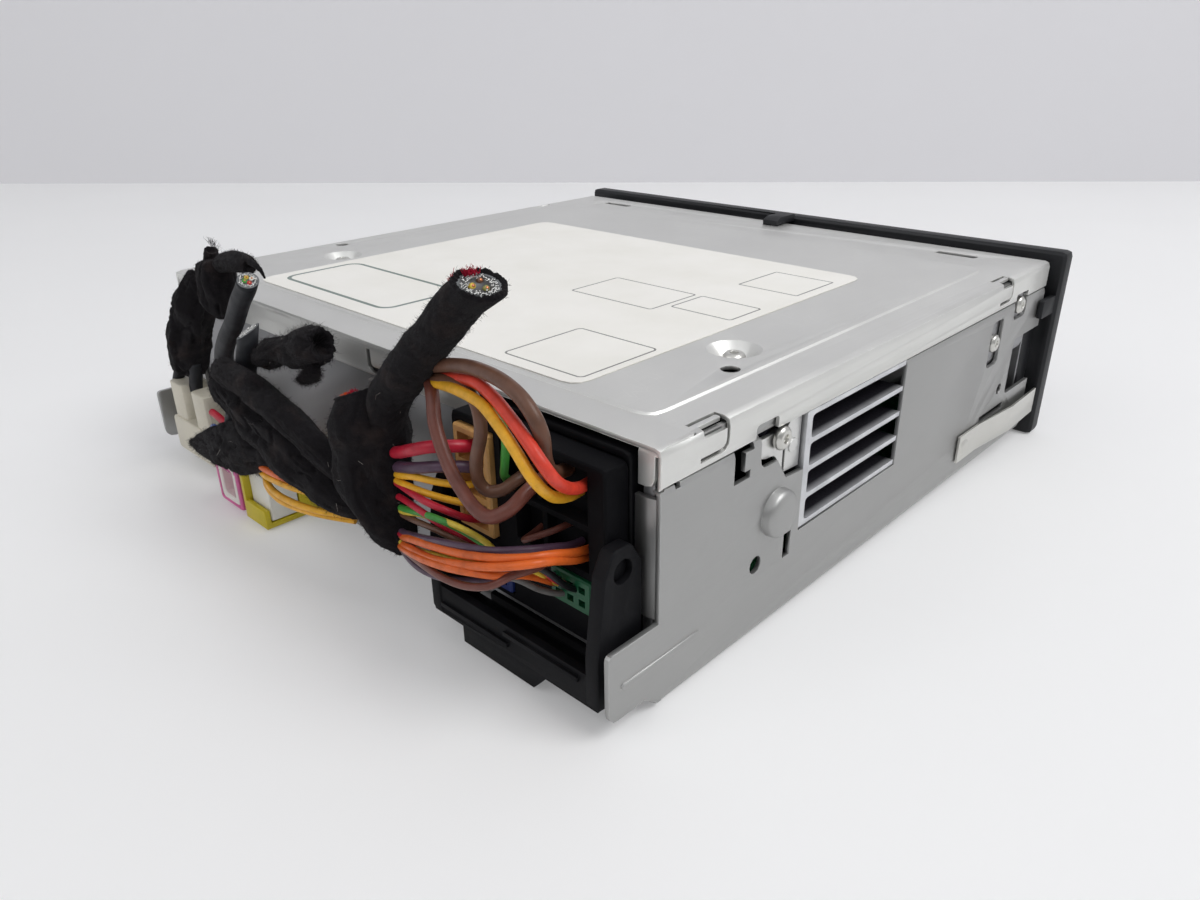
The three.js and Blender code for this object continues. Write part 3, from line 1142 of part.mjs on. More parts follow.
// Mechanism plate with its cut-out for the pickup and the four posts that hold the rods
function mechanismPlate() {
  const y = [spindleY - plate.front, spindleY + plate.rear];
  const flat = prism(rounded([-plateHalf, plateHalf], y, plate.side), 'z', [plateUnder, plateTop], 2);
  const hole = block(
    [plate.hole, plateHalf - 2 * plate.slotEnd], [spindleY - rod.offset / 2, spindleY + rod.offset / 2],
    [plateUnder - overrun, plateTop + overrun],
  );
  let body = flat.subtract(hole);
  const postX = [[post.inner, post.inner + post.thick], [plateHalf - post.thick - post.tail, plateHalf - post.tail]];
  for (const rodY of [spindleY - rod.offset, spindleY + rod.offset]) {
    const columnZ = [plateUnder, rodHeight + rod.radius + 2 * gap];
    for (const x of postX) body = body.add(block(x, [rodY - post.width / 2, rodY + post.width / 2], columnZ));
    const boreX = [post.inner - overrun, plateHalf + overrun];
    body = body.subtract(prism(disc(rodY, rodHeight, rod.radius + gap, rod.sides), 'x', boreX));
  }
  return body;
}

function spindleMotorCan() {
  const { radius, height, bore, sides } = spindleMotor;
  const can = chamfered(disc(spindleX, spindleY, radius, sides), 'z', [plateTop + gap, plateTop + gap + height], gap, 1);
  return can.subtract(prism(disc(spindleX, spindleY, bore, boreSides), 'z', [plateTop + 2 * gap, plateTop + height + overrun]));
}

function turntableDisc() {
  const base = plateTop + 2 * gap + spindleMotor.height;
  const { radius, sheet, hub, hubRise, cone, sides } = turntable;
  return turned([
    [0, -spindleMotor.height + 2 * gap], [spindleMotor.shaft, -spindleMotor.height + 2 * gap], [spindleMotor.shaft, 0],
    [radius - cone, 0], [radius, cone], [radius, sheet], [hub, sheet], [hub - cone, sheet + hubRise], [0, sheet + hubRise],
  ], 'z', [spindleX, spindleY, base], sides);
}

// Pickup sled: bridge between the rods, open bearing on one side, half nut on the other, lens on top
function pickupSled() {
  const x = [sled.start - sled.width / 2, sled.start + sled.width / 2];
  const z = [plateTop + sled.lift, plateTop + sled.lift + sled.height];
  const half = sled.reach / 2;
  const body = chamfered(rounded(x, [spindleY - half, spindleY + half], gap * 3), 'z', z, gap, 1);
  const bores = [spindleY - rod.offset, spindleY + rod.offset].map(
    (rodY) => prism(disc(rodY, rodHeight, rod.radius + gap, rod.sides), 'x', [x[0] - overrun, x[1] + overrun]),
  );
  const waist = block(
    [x[0] - overrun, x[0] + sled.width / 4], [spindleY - half / 3, spindleY + half / 3], [z[0] - overrun, z[1] + overrun],
  );
  const { lens: r, lensTop, lensRise: rise } = sled;
  const lensProfile = [[0, -overrun], [r, -overrun], [r, rise / 2], [lensTop, rise], [0, rise - gap / 2]];
  const lens = turned(lensProfile, 'z', [sled.start, spindleY, z[1]], sled.sides);
  return cut(body.add(lens), ...bores, waist);
}

const rodSpan = [post.inner + gap, plateHalf + gap];
function rodAt(y) {
  return prism(disc(y, rodHeight, rod.radius, rod.sides), 'x', rodSpan);
}

function sledMotorCan() {
  const y = spindleY - rod.offset;
  const x = [post.inner - gap - sledMotor.length, post.inner - gap];
  return chamfered(disc(y, rodHeight, sledMotor.radius, sledMotor.sides), 'x', x, gap * 2, 1);
}

// A spur gear blank drawn tooth by tooth
function gearShape(u, v, teeth, phase) {
  const pitchRadius = (gear.pitch * teeth) / 2;
  const points = [];
  for (let i = 0; i < teeth; i++) {
    for (const [across, up] of toothShares) {
      const angle = phase + ((i + across) * 2 * Math.PI) / teeth;
      const r = pitchRadius - gear.root + up * (gear.crest + gear.root);
      points.push([u + r * Math.cos(angle), v + r * Math.sin(angle)]);
    }
  }
  return outline(points);
}

const meshAngle = THREE.MathUtils.degToRad(loadMotor.angle);
const centreDistance = (gear.pitch * (gear.teeth + gear.pinionTeeth)) / 2;
const pinionY = rollerY + centreDistance * Math.cos(meshAngle);
const pinionHeight = roller.height + centreDistance * Math.sin(meshAngle);
const gearEnd = gear.wallRoom - driveHalf;
const gearSpan = [gearEnd - gear.width, gearEnd];

// Feed roller, waisted so that it centres the disc, with its gear and journals in one moulding
function feedRoller() {
  const half = driveHalf - roller.wallRoom;
  const tyre = turned([
    [0, -half], [roller.radius, -half], [roller.radius - roller.waist, 0], [roller.radius, half], [0, half],
  ], 'x', [0, rollerY, roller.height], roller.sides);
  const shaft = prism(disc(rollerY, roller.height, roller.shaft, shaftSides), 'x', [-driveHalf - gap, driveHalf + gap]);
  const wheel = prism(gearShape(rollerY, roller.height, gear.teeth, meshAngle), 'x', gearSpan);
  return join(tyre, shaft, wheel);
}

function loadingPinion() {
  const phase = meshAngle + Math.PI + Math.PI / gear.pinionTeeth;
  const wheel = prism(gearShape(pinionY, pinionHeight, gear.pinionTeeth, phase), 'x', gearSpan);
  const tailX = [gearSpan[1] - gap, gearSpan[1] + loadMotor.neck + overrun];
  return wheel.add(prism(disc(pinionY, pinionHeight, gear.shaft, shaftSides), 'x', tailX));
}

function loadingMotorCan() {
  const x = [gearSpan[1] + loadMotor.neck, gearSpan[1] + loadMotor.neck + loadMotor.length];
  const can = chamfered(disc(pinionY, pinionHeight, loadMotor.radius, loadMotor.sides), 'x', x, gap * 2, 1);
  const boreX = [x[0] - overrun, x[0] + overrun + gap];
  return can.subtract(prism(disc(pinionY, pinionHeight, gear.shaft + gap, boreSides), 'x', boreX));
}

// Clamp arm: a beam on two pins in the drive's walls, and a blade that ends in a ring round the puck
function clampArm() {
  const z = [clamp.height, clamp.height + clamp.sheet];
  const beamY = rearY - clamp.beamRear;
  const half = driveHalf - drive.sheet - gap;
  const beam = block([-half, half], [beamY - clamp.beam / 2, beamY + clamp.beam / 2], z);
  const blade = prism(outline([
    [-clamp.arm, beamY], [-clamp.ring, spindleY], [-clamp.ring, spindleY - clamp.ring, clamp.ring / 2],
    [clamp.ring, spindleY - clamp.ring, clamp.ring / 2], [clamp.ring, spindleY], [clamp.arm, beamY],
  ]), 'z', z, 3);
  const hole = prism(disc(spindleX, spindleY, puck.stem + gap, puck.sides), 'z', [z[0] - overrun, z[1] + overrun]);
  const middle = clamp.height + clamp.sheet / 2;
  const pins = [-1, 1].map((side) => prism(
    disc(beamY, middle, clamp.pin, boreSides), 'x',
    [side * (half - clamp.pinReach), side * (half + clamp.pinReach)].sort((a, b) => a - b),
  ));
  return cut(join(beam, blade, ...pins), hole);
}

function clampPuck() {
  const { radius, sheet, recess, stem, flange, flangeSheet, sides } = puck;
  const under = clamp.height - gap;
  const over = clamp.sheet + gap;
  return turned([
    [0, recess - sheet], [turntable.hub + gap, recess - sheet], [turntable.hub + gap, -sheet], [radius, -sheet],
    [radius, 0], [stem, 0], [stem, over + gap], [flange, over + gap],
    [flange, over + gap + flangeSheet], [0, over + gap + flangeSheet],
  ], 'z', [spindleX, spindleY, under], sides);
}

piece('heat_sink', heatSink(), 0xc9cacb, 0.5, 0.75);
piece('heat_sink_bracket', heatSinkBracket(), 0xbcbdbb, 0.35, 0.9);
const combScrewSeat = [-halfWidth + bracket.inset - gap, rearY - combScrew.rear, combScrewZ];
piece('heat_sink_screw', screwSolid('x', combScrewSeat, true), 0xa8a8a4, 0.3, 0.9);
piece('leaf_spring_right', leafSpring(-1), 0xc4c3be, 0.32, 0.9);
piece('leaf_spring_left', leafSpring(1), 0xc4c3be, 0.32, 0.9);
sideScrewPlaces().forEach(([y, z], i) => {
  piece(`drive_screw_right_${i + 1}`, screwSolid('x', [-wallInner, y, z], true), 0xb0b0ac, 0.3, 0.9);
  piece(`drive_screw_left_${i + 1}`, screwSolid('x', [wallInner, y, z], false), 0xb0b0ac, 0.3, 0.9);
});
piece('front_bezel', frontBezel(), 0x26282b, 0.55, 0);
piece('eject_button', ejectButton(), 0x1d1f22, 0.5, 0);
piece('dust_curtain', dustCurtain(), 0x1a1a1c, 0.95, 0);
piece('front_plate', frontSheet(), 0x9fa1a1, 0.45, 0.85);
piece('main_board', mainBoard(), 0x1f4a33, 0.6, 0.05);
piece('drive_frame', driveFrame(), 0xa3a5a5, 0.45, 0.85);
damperHands.forEach((hand, i) => piece(`rubber_damper_${i + 1}`, rubberDamper(hand), 0x2c2a2a, 0.8, 0));
piece('mechanism_plate', mechanismPlate(), 0x8f9192, 0.5, 0.8);
piece('spindle_motor', spindleMotorCan(), 0xb0b0ae, 0.35, 0.9);
piece('turntable', turntableDisc(), 0x2a2b2d, 0.6, 0);
piece('pickup_sled', pickupSled(), 0x35373a, 0.55, 0.1);
piece('guide_rod', rodAt(spindleY + rod.offset), 0xc8c8c6, 0.2, 0.95);
piece('lead_screw', rodAt(spindleY - rod.offset), 0xb8b4a0, 0.3, 0.9);
piece('sled_motor', sledMotorCan(), 0xacacaa, 0.35, 0.9);
piece('feed_roller', feedRoller(), 0x323234, 0.75, 0);
piece('loading_pinion', loadingPinion(), 0xd8d6cc, 0.5, 0);
piece('loading_motor', loadingMotorCan(), 0xacacaa, 0.35, 0.9);
piece('clamp_arm', clampArm(), 0xa0a2a2, 0.45, 0.85);
piece('clamp_puck', clampPuck(), 0xd0cec4, 0.5, 0);

// The harness, cut off short. Its routes are read from the rear edge and the floor of the chassis. Across it
// they are read from the big plug's inner end, or as a share of the way from the main branch to the antenna
// plug. Taped stretches give their radius last.
const branchRoom = 26;

function besidePlug(points) {
  return points.map(([across, behind, up, ...rest]) => [plugX[1] + across, rearY + behind, up, ...rest]);
}

function betweenPlugs(points) {
  const start = plugX[1] + branchRoom;
  const span = whiteX[0] - start;
  return points.map(([share, behind, up, ...rest]) => [start + share * span, rearY + behind, up, ...rest]);
}

const mainBranchRoute = besidePlug([
  [10.3, 13.5, 13.2, 2.2], [13.8, 13.1, 17.5, 4.6], [16.8, 12.5, 23, 6.2], [18.8, 12.1, 32, 6.3],
  [17.3, 12, 43, 5.6], [11.2, 11.8, 50.2, 4.8], [2.2, 11.5, 58, 4.1], [-7.6, 11.5, 66.4, 3.9],
  [-17.2, 11.5, 73.6, 3.9],
]);
const crossBundleRoute = betweenPlugs([
  [0.573, 17.5, 37.2, 4.6], [0.458, 17.8, 38, 6.2], [0.322, 18, 36.4, 6.5], [0.201, 17.9, 32.5, 6.3],
  [0.102, 17.3, 28.4, 5.8], [0.008, 15.4, 26, 4.9],
]);
const tapeTailRoute = betweenPlugs([
  [0.946, 18, 15, 1], [0.837, 18.5, 16.5, 3], [0.702, 19, 18.8, 3.9], [0.566, 19, 22.5, 4.2],
  [0.444, 18.5, 27, 4], [0.35, 18, 31.5, 3.4],
]);
const loopRoute = betweenPlugs([
  [1.142, 8.8, 24.9, 4.2], [1.149, 8.5, 30, 5.4], [1.129, 8.5, 38, 5.6], [1.068, 8.5, 47, 5.4],
  [0.966, 8.5, 54.5, 5.4], [0.837, 8.7, 58.5, 5.6], [0.688, 9.1, 62.5, 4.4], [0.533, 9.5, 63.6, 1.8],
]);
const loopLobeRoute = betweenPlugs([
  [0.844, 8.9, 57, 5.4], [0.84, 9.5, 51, 6], [0.858, 10.1, 44.6, 3.6],
]);
const stubRoute = betweenPlugs([
  [0.439, 12.7, 46.2, 2.2], [0.316, 12.5, 48.6, 4.6], [0.214, 12.5, 50.6, 5.5],
  [0.106, 12.5, 53.2, 5.2], [0.031, 12.5, 54.9, 2.6],
]);
const longGreyRoute = betweenPlugs([
  [0.927, 5.7, 18.4], [0.927, 5.8, 21.2], [0.921, 6.9, 24.4], [0.889, 8.9, 28], [0.818, 10.3, 32.4],
  [0.748, 10.9, 37.2], [0.678, 11.9, 43.4], [0.558, 13.1, 52.2], [0.472, 13.9, 58],
  [0.385, 14.5, 62.9],
]);
const shortGreyRoute = betweenPlugs([
  [0.512, 14.9, 44.5], [0.491, 14.5, 47.5], [0.474, 14.5, 49.6], [0.461, 14.5, 51.4],
]);
const brownRoute1 = besidePlug([
  [7.5, 14.1, 46.3], [5.8, 14.7, 46.2], [1.3, 15, 51.4], [-4.2, 15.1, 56.5], [-11.2, 15.5, 60.6],
  [-18.2, 15.5, 62], [-26.2, 15, 60.6], [-31.4, 14.1, 57.4], [-32.6, 12.5, 52.5], [-31.2, 10.3, 47.6],
  [-28.8, 8.1, 44.2], [-27.8, 5.7, 42.9], [-27.8, 3.4, 42.8],
]);
const brownRoute2 = besidePlug([
  [13.2, 16.2, 35.5], [11.6, 17.4, 36], [6, 17.4, 39.2], [0.2, 17.9, 43.4], [-5.4, 18.3, 42.6],
  [-9, 18, 38], [-14, 17, 34.8], [-19.6, 14.3, 34.8], [-20.6, 9.9, 37], [-19.7, 6.3, 38.2],
  [-19.7, 3.4, 38.4],
]);
const redPowerRoute = besidePlug([
  [13.1, 16.5, 31.4], [11.6, 17.4, 32.3], [6.3, 17.1, 35.2], [0.2, 14.9, 38.6], [-3.6, 12.7, 40.6],
  [-6, 9.5, 41.6], [-6.4, 7.3, 41.6], [-6.4, 5.6, 41.6],
]);
const pairRedRoute = besidePlug([
  [11, 15.5, 42.2], [9.4, 16.6, 43.6], [5.6, 17.8, 48], [-1.7, 18.9, 54], [-9.7, 19.3, 57.8],
  [-18.2, 19.1, 59.2], [-26.2, 18.1, 57.6], [-31.4, 16.5, 53.4], [-33.8, 13.5, 48.2], [-33.6, 9.3, 44],
  [-33, 6.1, 42.2], [-33, 3.4, 42.1],
]);
const pairYellowRoute = besidePlug([
  [12.9, 16.2, 39.3], [11.3, 18.1, 39.6], [7.4, 20.3, 42.4], [-1.2, 21.3, 50], [-9.2, 20.9, 54.4],
  [-17.7, 20.7, 55.9], [-25, 19.5, 54.4], [-29.2, 17.5, 50.4], [-30.5, 14.1, 44.9], [-30.4, 9.1, 40.4],
  [-30.4, 5.9, 39.2], [-30.4, 3.4, 39.1],
]);
const orangeRoute = besidePlug([
  [10.4, 16.2, 19.5], [7.6, 18.1, 19.9], [2.8, 18.9, 19.6], [-4.2, 19.3, 20], [-13.2, 19.5, 21.4],
  [-21.6, 18.9, 25.2], [-25.8, 16.7, 28.4], [-28.8, 12.1, 30.4], [-30.4, 7.9, 30.4],
  [-30.8, 5.5, 30.2], [-30.8, 3.4, 30.2],
]);
const signalRoute = besidePlug([
  [12.6, 16.9, 26.7], [10.4, 18.1, 27.6], [4.3, 18.1, 29.4], [-4.2, 17.9, 30.6], [-12.2, 16.5, 31],
  [-17.6, 12.9, 30.8], [-19.6, 8.5, 30.4], [-19.8, 5.7, 30.2], [-19.8, 3.4, 30.2],
]);
const yellowRoute = betweenPlugs([
  [0.585, 10.1, 15.6], [0.583, 11.5, 17.4], [0.534, 14.5, 17.4], [0.444, 16.7, 16.9], [0.35, 17.5, 17],
  [0.187, 17.9, 18.4], [0.057, 16.9, 19.2], [-0.042, 15.3, 19.4],
]);
const wire = {
  pairRed: 2.2, pairYellow: 2, power: 2.4, brown: 2.4, orange: 4.2, signal: 3.6, yellow: 3, grey: 4.4, sides: 8,
};
const wireSteps = {
  long: 24, middle: 20, short: 14, power: 10, grey: 20, greyStub: 4,
};
const tape = { sides: 12, branch: 22, cross: 12, tail: 10, loop: 16, lobe: 4, stub: 8 };

const cloth = [0x232024, 0.95, 0];
const crossAndTail = tapedBundle(crossBundleRoute, tape.sides, tape.cross)
  .add(tapedBundle(tapeTailRoute, tape.sides, tape.tail));
const loopAndLobe = tapedBundle(loopRoute, tape.sides, tape.loop).add(tapedBundle(loopLobeRoute, tape.sides, tape.lobe));
const plainCord = (route, diameter, steps) => cord(route, diameter, wire.sides, steps);
piece('taped_main_branch', tapedBundle(mainBranchRoute, tape.sides, tape.branch), ...cloth);
piece('taped_cross_bundle', crossAndTail, ...cloth);
piece('taped_loop', loopAndLobe, ...cloth);
piece('taped_stub', tapedBundle(stubRoute, tape.sides, tape.stub), ...cloth);
piece('antenna_cable_long', plainCord(longGreyRoute, wire.grey, wireSteps.grey), 0x3f4144, 0.6, 0);
piece('antenna_cable_short', plainCord(shortGreyRoute, wire.grey, wireSteps.greyStub), 0x3f4144, 0.6, 0);
piece('brown_wire_1', plainCord(brownRoute1, wire.brown, wireSteps.long), 0x6e4432, 0.45, 0);
piece('brown_wire_2', plainCord(brownRoute2, wire.brown, wireSteps.middle), 0x6e4432, 0.45, 0);
piece('red_power_wire', plainCord(redPowerRoute, wire.power, wireSteps.power), 0xb22a34, 0.4, 0);
piece('speaker_wire_red', plainCord(pairRedRoute, wire.pairRed, wireSteps.long), 0xc93a30, 0.4, 0);
piece('speaker_wire_yellow', plainCord(pairYellowRoute, wire.pairYellow, wireSteps.long), 0xd9a52e, 0.4, 0);
piece('orange_wires', plainCord(orangeRoute, wire.orange, wireSteps.middle), 0xc9662c, 0.45, 0);
piece('signal_wires', plainCord(signalRoute, wire.signal, wireSteps.short), 0x6a8a3a, 0.45, 0);
piece('yellow_wires', plainCord(yellowRoute, wire.yellow, wireSteps.short), 0xd9ab35, 0.45, 0);

export default radio;
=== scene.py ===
import math
import random
import bpy
from mathutils import Matrix, Vector, noise


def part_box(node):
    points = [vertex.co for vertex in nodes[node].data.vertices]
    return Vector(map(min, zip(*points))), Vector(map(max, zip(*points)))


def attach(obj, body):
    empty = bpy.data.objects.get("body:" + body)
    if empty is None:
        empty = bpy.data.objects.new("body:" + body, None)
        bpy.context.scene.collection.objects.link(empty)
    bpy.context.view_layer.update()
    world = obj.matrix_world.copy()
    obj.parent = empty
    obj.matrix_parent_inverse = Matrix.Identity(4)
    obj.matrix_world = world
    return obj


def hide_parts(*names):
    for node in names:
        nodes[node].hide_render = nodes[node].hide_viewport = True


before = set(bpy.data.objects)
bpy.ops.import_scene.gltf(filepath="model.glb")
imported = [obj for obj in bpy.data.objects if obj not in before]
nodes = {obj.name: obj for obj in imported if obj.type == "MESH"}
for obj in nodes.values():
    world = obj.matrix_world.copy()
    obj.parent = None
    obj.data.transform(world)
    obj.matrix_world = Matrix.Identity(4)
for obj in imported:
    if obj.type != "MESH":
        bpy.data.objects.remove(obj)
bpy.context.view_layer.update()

# Camera. It looks down on the rear right corner of the unit from behind, with a wide lens held close,
# and is rolled by less than a degree, as the photograph is.
lens_mm = 26.607
camera_place = Vector((-0.16812, 0.17611, 0.11125))
camera_azimuth = math.radians(136.0)
camera_elevation = math.radians(-24.99)
camera_roll = math.radians(-0.8)

camera_data = bpy.data.cameras.new("camera")
camera_data.lens = lens_mm
camera_data.sensor_width = 36
camera_data.clip_start = 0.005
camera_data.clip_end = 20
camera = bpy.data.objects.new("camera", camera_data)
bpy.context.scene.collection.objects.link(camera)
look = Vector((
    math.sin(camera_azimuth) * math.cos(camera_elevation),
    math.cos(camera_azimuth) * math.cos(camera_elevation),
    math.sin(camera_elevation),
))
level_right = look.cross(Vector((0, 0, 1))).normalized()
level_up = level_right.cross(look)
right = level_right * math.cos(camera_roll) + level_up * math.sin(camera_roll)
up = level_up * math.cos(camera_roll) - level_right * math.sin(camera_roll)
camera.matrix_world = Matrix.Translation(camera_place) @ Matrix((right, up, -look)).transposed().to_4x4()
bpy.context.scene.camera = camera
bpy.context.scene.view_settings.view_transform = "Standard"


# Table and wall. A smooth white table top, and a pale wall a little way behind it. The unit rests on the
# lower edge of its bezel and on the rear edge of its tray, so the table leans by that small angle.
def shown_colour(red, green, blue):
    """A colour as the eye reads it on the object, 0 to 255, turned into the light that a shader wants."""
    parts = [part / 255 for part in (red, green, blue)]
    return tuple(c / 12.92 if c <= 0.04045 else ((c + 0.055) / 1.055) ** 2.4 for c in parts) + (1.0,)


def put(tree, kind, *wires, **settings):
    """Adds one shader node. Small-letter settings are its own, capital ones and wires go to its sockets."""
    node = tree.nodes.new("ShaderNode" + kind)
    for name, value in settings.items():
        if name[0].islower():
            setattr(node, name, value)
    for name, value in settings.items():
        if name[0].isupper():
            feed(tree, node.inputs[name.replace("_", " ")], value)
    for place, value in enumerate(wires):
        feed(tree, node.inputs[place], value)
    return node


def feed(tree, socket, value):
    """Puts a number or colour on a socket, or joins another output to it. A colour of three is 0 to 255."""
    if isinstance(value, bpy.types.NodeSocket):
        tree.links.new(value, socket)
    elif socket.type == "RGBA" and len(value) == 3:
        socket.default_value = shown_colour(*value)
    else:
        socket.default_value = value


def sums(tree, operation, *values, clamp=False):
    """The result of one math node."""
    return put(tree, "Math", *values, operation=operation, use_clamp=clamp).outputs[0]


def times(tree, first, second, clamp=False):
    """The product of two values."""
    return sums(tree, "MULTIPLY", first, second, clamp=clamp)


def plus(tree, first, second, clamp=False):
    """The sum of two values."""
    return sums(tree, "ADD", first, second, clamp=clamp)


def between(tree, value, low, high, to_low=0.0, to_high=1.0):
    """A value moved from one range to another and held inside it."""
    return put(tree, "MapRange", value, low, high, to_low, to_high).outputs[0]


def mottle(tree, place, scale, detail=2.0, roughness=0.5, distortion=0.0):
    """Soft clouds between 0 and 1."""
    return put(tree, "TexNoise", Vector=place, Scale=scale, Detail=detail, Roughness=roughness,
               Distortion=distortion).outputs[0]


def mixed(tree, share, under, over):
    """One colour laid over another by a share."""
    node = put(tree, "Mix", data_type="RGBA")
    feed(tree, node.inputs[0], share)
    feed(tree, node.inputs[6], under)
    feed(tree, node.inputs[7], over)
    return node.outputs[2]


def tinted(shown, share, lift=0.0):
    """A colour, 0 to 255, made darker or lighter by a share."""
    return tuple(min(1.0, c * share + lift) for c in shown_colour(*shown)[:3]) + (1.0,)


def blank_material(name):
    """A new material, its node tree, its Principled shader and the place of a point in the frame."""
    material = bpy.data.materials.new(name)
    material.use_nodes = True
    tree = material.node_tree
    return material, tree, tree.nodes["Principled BSDF"], put(tree, "TexCoord").outputs["Object"]


def stage_material(name, shown, seen_light):
    """Matt paint that a lens or polished metal sees a little brighter than the lamps make it."""
    material, tree, paint, place = blank_material(name)
    speckle = between(tree, mottle(tree, place, 7.0, 3.0), 0.3, 0.7)
    feed(tree, paint.inputs["Base Color"], mixed(tree, speckle, shown, tinted(shown, 1.02)))
    paint.inputs["Roughness"].default_value = 0.6
    paint.inputs["Specular IOR Level"].default_value = 0.3
    glow = put(tree, "Emission", Color=(0.94, 0.94, 0.95, 1.0), Strength=1.0).outputs[0]
    rays = put(tree, "LightPath").outputs
    seen = sums(tree, "MAXIMUM", rays["Is Camera Ray"], rays["Is Glossy Ray"])
    both = put(tree, "MixShader", times(tree, seen, seen_light), paint.outputs[0], glow).outputs[0]
    tree.links.new(both, tree.nodes["Material Output"].inputs[0])
    return material


def flat_piece(name, corners, material):
    """A flat sheet through its corners."""
    mesh = bpy.data.meshes.new(name)
    mesh.from_pydata(corners, [], [tuple(range(len(corners)))])
    sheet = bpy.data.objects.new(name, mesh)
    mesh.materials.append(material)
    bpy.context.scene.collection.objects.link(sheet)
    return sheet


bezel_heel = Vector((0, -0.0805, 0))
tray_heel = Vector((0, 0.0929, 0.0029))
lean = (tray_heel.z - bezel_heel.z) / (tray_heel.y - bezel_heel.y)
hair_gap = 0.00003
table_half = 3.0
wall_away = 0.81
wall_height = 2.0
wall_way = Vector((look.x, look.y, 0)).normalized()
wall_side = Vector((-wall_way.y, wall_way.x, 0))
table_corners = []
for x, y in ((-1, -1), (1, -1), (1, 1), (-1, 1)):
    table_height = (y * table_half - bezel_heel.y) * lean - hair_gap
    table_corners.append((x * table_half, y * table_half, table_height))
table = flat_piece("table_top", table_corners, stage_material("white table", (243, 243, 243), 0.2))
wall_foot = camera_place + wall_way * wall_away
wall = flat_piece("wall", [
    (wall_foot + wall_side * side * table_half).to_tuple()[:2] + (height,)
    for side, height in ((-1, -0.1), (1, -0.1), (1, wall_height), (-1, wall_height))
], stage_material("pale wall", (200, 199, 204), 0.3))


# Lamps. One wide soft lamp high on the right of the picture, a weaker one on the left, and a white room that
# is bright overhead and over the table, and darker low down on the side where the camera stands.
def soft_lamp(name, place, target, size, power):
    """A square lamp that points at a place."""
    data = bpy.data.lights.new(name, "AREA")
    data.shape = "SQUARE"
    data.size = size
    data.energy = power
    lamp = bpy.data.objects.new(name, data)
    bpy.context.scene.collection.objects.link(lamp)
    lamp.location = place
    lamp.rotation_mode = "QUATERNION"
    lamp.rotation_quaternion = (Vector(target) - Vector(place)).to_track_quat("-Z", "Y")
    return lamp


unit_middle = (0, 0, 0.03)
soft_lamp("key_lamp", (-0.75, -0.25, 1.05), unit_middle, 0.7, 8.1)
soft_lamp("fill_lamp", (0.2, 1.0, 0.9), unit_middle, 0.9, 2.2)

room = bpy.data.worlds.new("white room")
bpy.context.scene.world = room
room.use_nodes = True
air = room.node_tree
air.nodes.clear()
room_rays = put(air, "LightPath").outputs
room_bounced = sums(air, "MAXIMUM", room_rays["Is Glossy Ray"], room_rays["Is Transmission Ray"])
room_seen = sums(air, "MAXIMUM", room_rays["Is Camera Ray"], room_bounced)
room_way = put(air, "TexCoord").outputs["Generated"]
near_side = put(air, "VectorMath", room_way, tuple(-wall_way), operation="DOT_PRODUCT").outputs["Value"]
room_height = put(air, "SeparateXYZ", room_way).outputs[2]
dark_side = times(air, between(air, near_side, -0.1, 0.6), between(air, room_height, 0.7, 0.3))
shown_strength = between(air, dark_side, 0.0, 1.0, 0.88, 0.3)
lamp_strength = 0.5
room_unseen = sums(air, "SUBTRACT", 1.0, room_seen)
room_strength = plus(air, times(air, room_seen, shown_strength), times(air, room_unseen, lamp_strength))
room_light = put(air, "Background", (0.97, 0.98, 1.0, 1.0), room_strength)
room_out = put(air, "OutputWorld")
air.links.new(room_light.outputs[0], room_out.inputs[0])


# Chassis tray. One blank of zinc-plated sheet steel, punched and folded up, with a satin mill finish that
# has faint rolling streaks and cloudy patches, and edges painted bright, partly as rubbed wear and partly as
# a painted highlight.
def shader_group(name, takes, gives):
    """An empty node group with named sockets: its tree, what comes in and where it goes out."""
    group = bpy.data.node_groups.new(name, "ShaderNodeTree")
    for label, value in takes:
        kind = "NodeSocketVector" if isinstance(value, tuple) else "NodeSocketFloat"
        socket = group.interface.new_socket(label, in_out="INPUT", socket_type=kind)
        if not isinstance(value, tuple):
            socket.default_value = value
    for label in gives:
        group.interface.new_socket(label, in_out="OUTPUT", socket_type="NodeSocketFloat")
    inside = group.nodes.new("NodeGroupInput")
    out = group.nodes.new("NodeGroupOutput")
    return group, inside.outputs, out.inputs


def use_group(tree, group, **settings):
    """Places a group in a material with its own values, and gives its outputs."""
    node = tree.nodes.new("ShaderNodeGroup")
    node.node_tree = group
    for name, value in settings.items():
        feed(tree, node.inputs[name.replace("_", " ")], value)
    return node.outputs


sheet_finish, takes, gives = shader_group(
    "sheet finish",
    [("Place", ()), ("Streaks", 1.0), ("Clouds", 1.0), ("Scuffs", 1.0)],
    ["Tone", "Dullness", "Relief"],
)
tree = sheet_finish
streak_place = put(tree, "Mapping", takes["Place"], Scale=(2200.0, 90.0, 2200.0)).outputs[0]
streaks = mottle(tree, streak_place, 1.0)
clouds = mottle(tree, takes["Place"], 55.0, 5.0, 0.6)
grit = mottle(tree, takes["Place"], 2600.0, 1.0)
scuff_turn = (0.3, 0.5, 0.7)
scuff_scale = (260.0, 900.0, 420.0)
scuff_place = put(tree, "Mapping", takes["Place"], Scale=scuff_scale, Rotation=scuff_turn).outputs[0]
scuff_lines = put(tree, "TexVoronoi", Vector=scuff_place, feature="DISTANCE_TO_EDGE", Scale=0.35).outputs[0]
scuffs = times(tree, between(tree, scuff_lines, 0.0, 0.012, 1.0, 0.0), between(tree, clouds, 0.55, 0.72))
scuffs = times(tree, scuffs, takes["Scuffs"])
streak_share = times(tree, sums(tree, "SUBTRACT", streaks, 0.5), takes["Streaks"])
cloud_share = times(tree, sums(tree, "SUBTRACT", clouds, 0.5), takes["Clouds"])
tone = plus(tree, plus(tree, times(tree, streak_share, 0.5), cloud_share), times(tree, scuffs, 0.5))
tree.links.new(plus(tree, tone, 0.5, clamp=True), gives["Tone"])
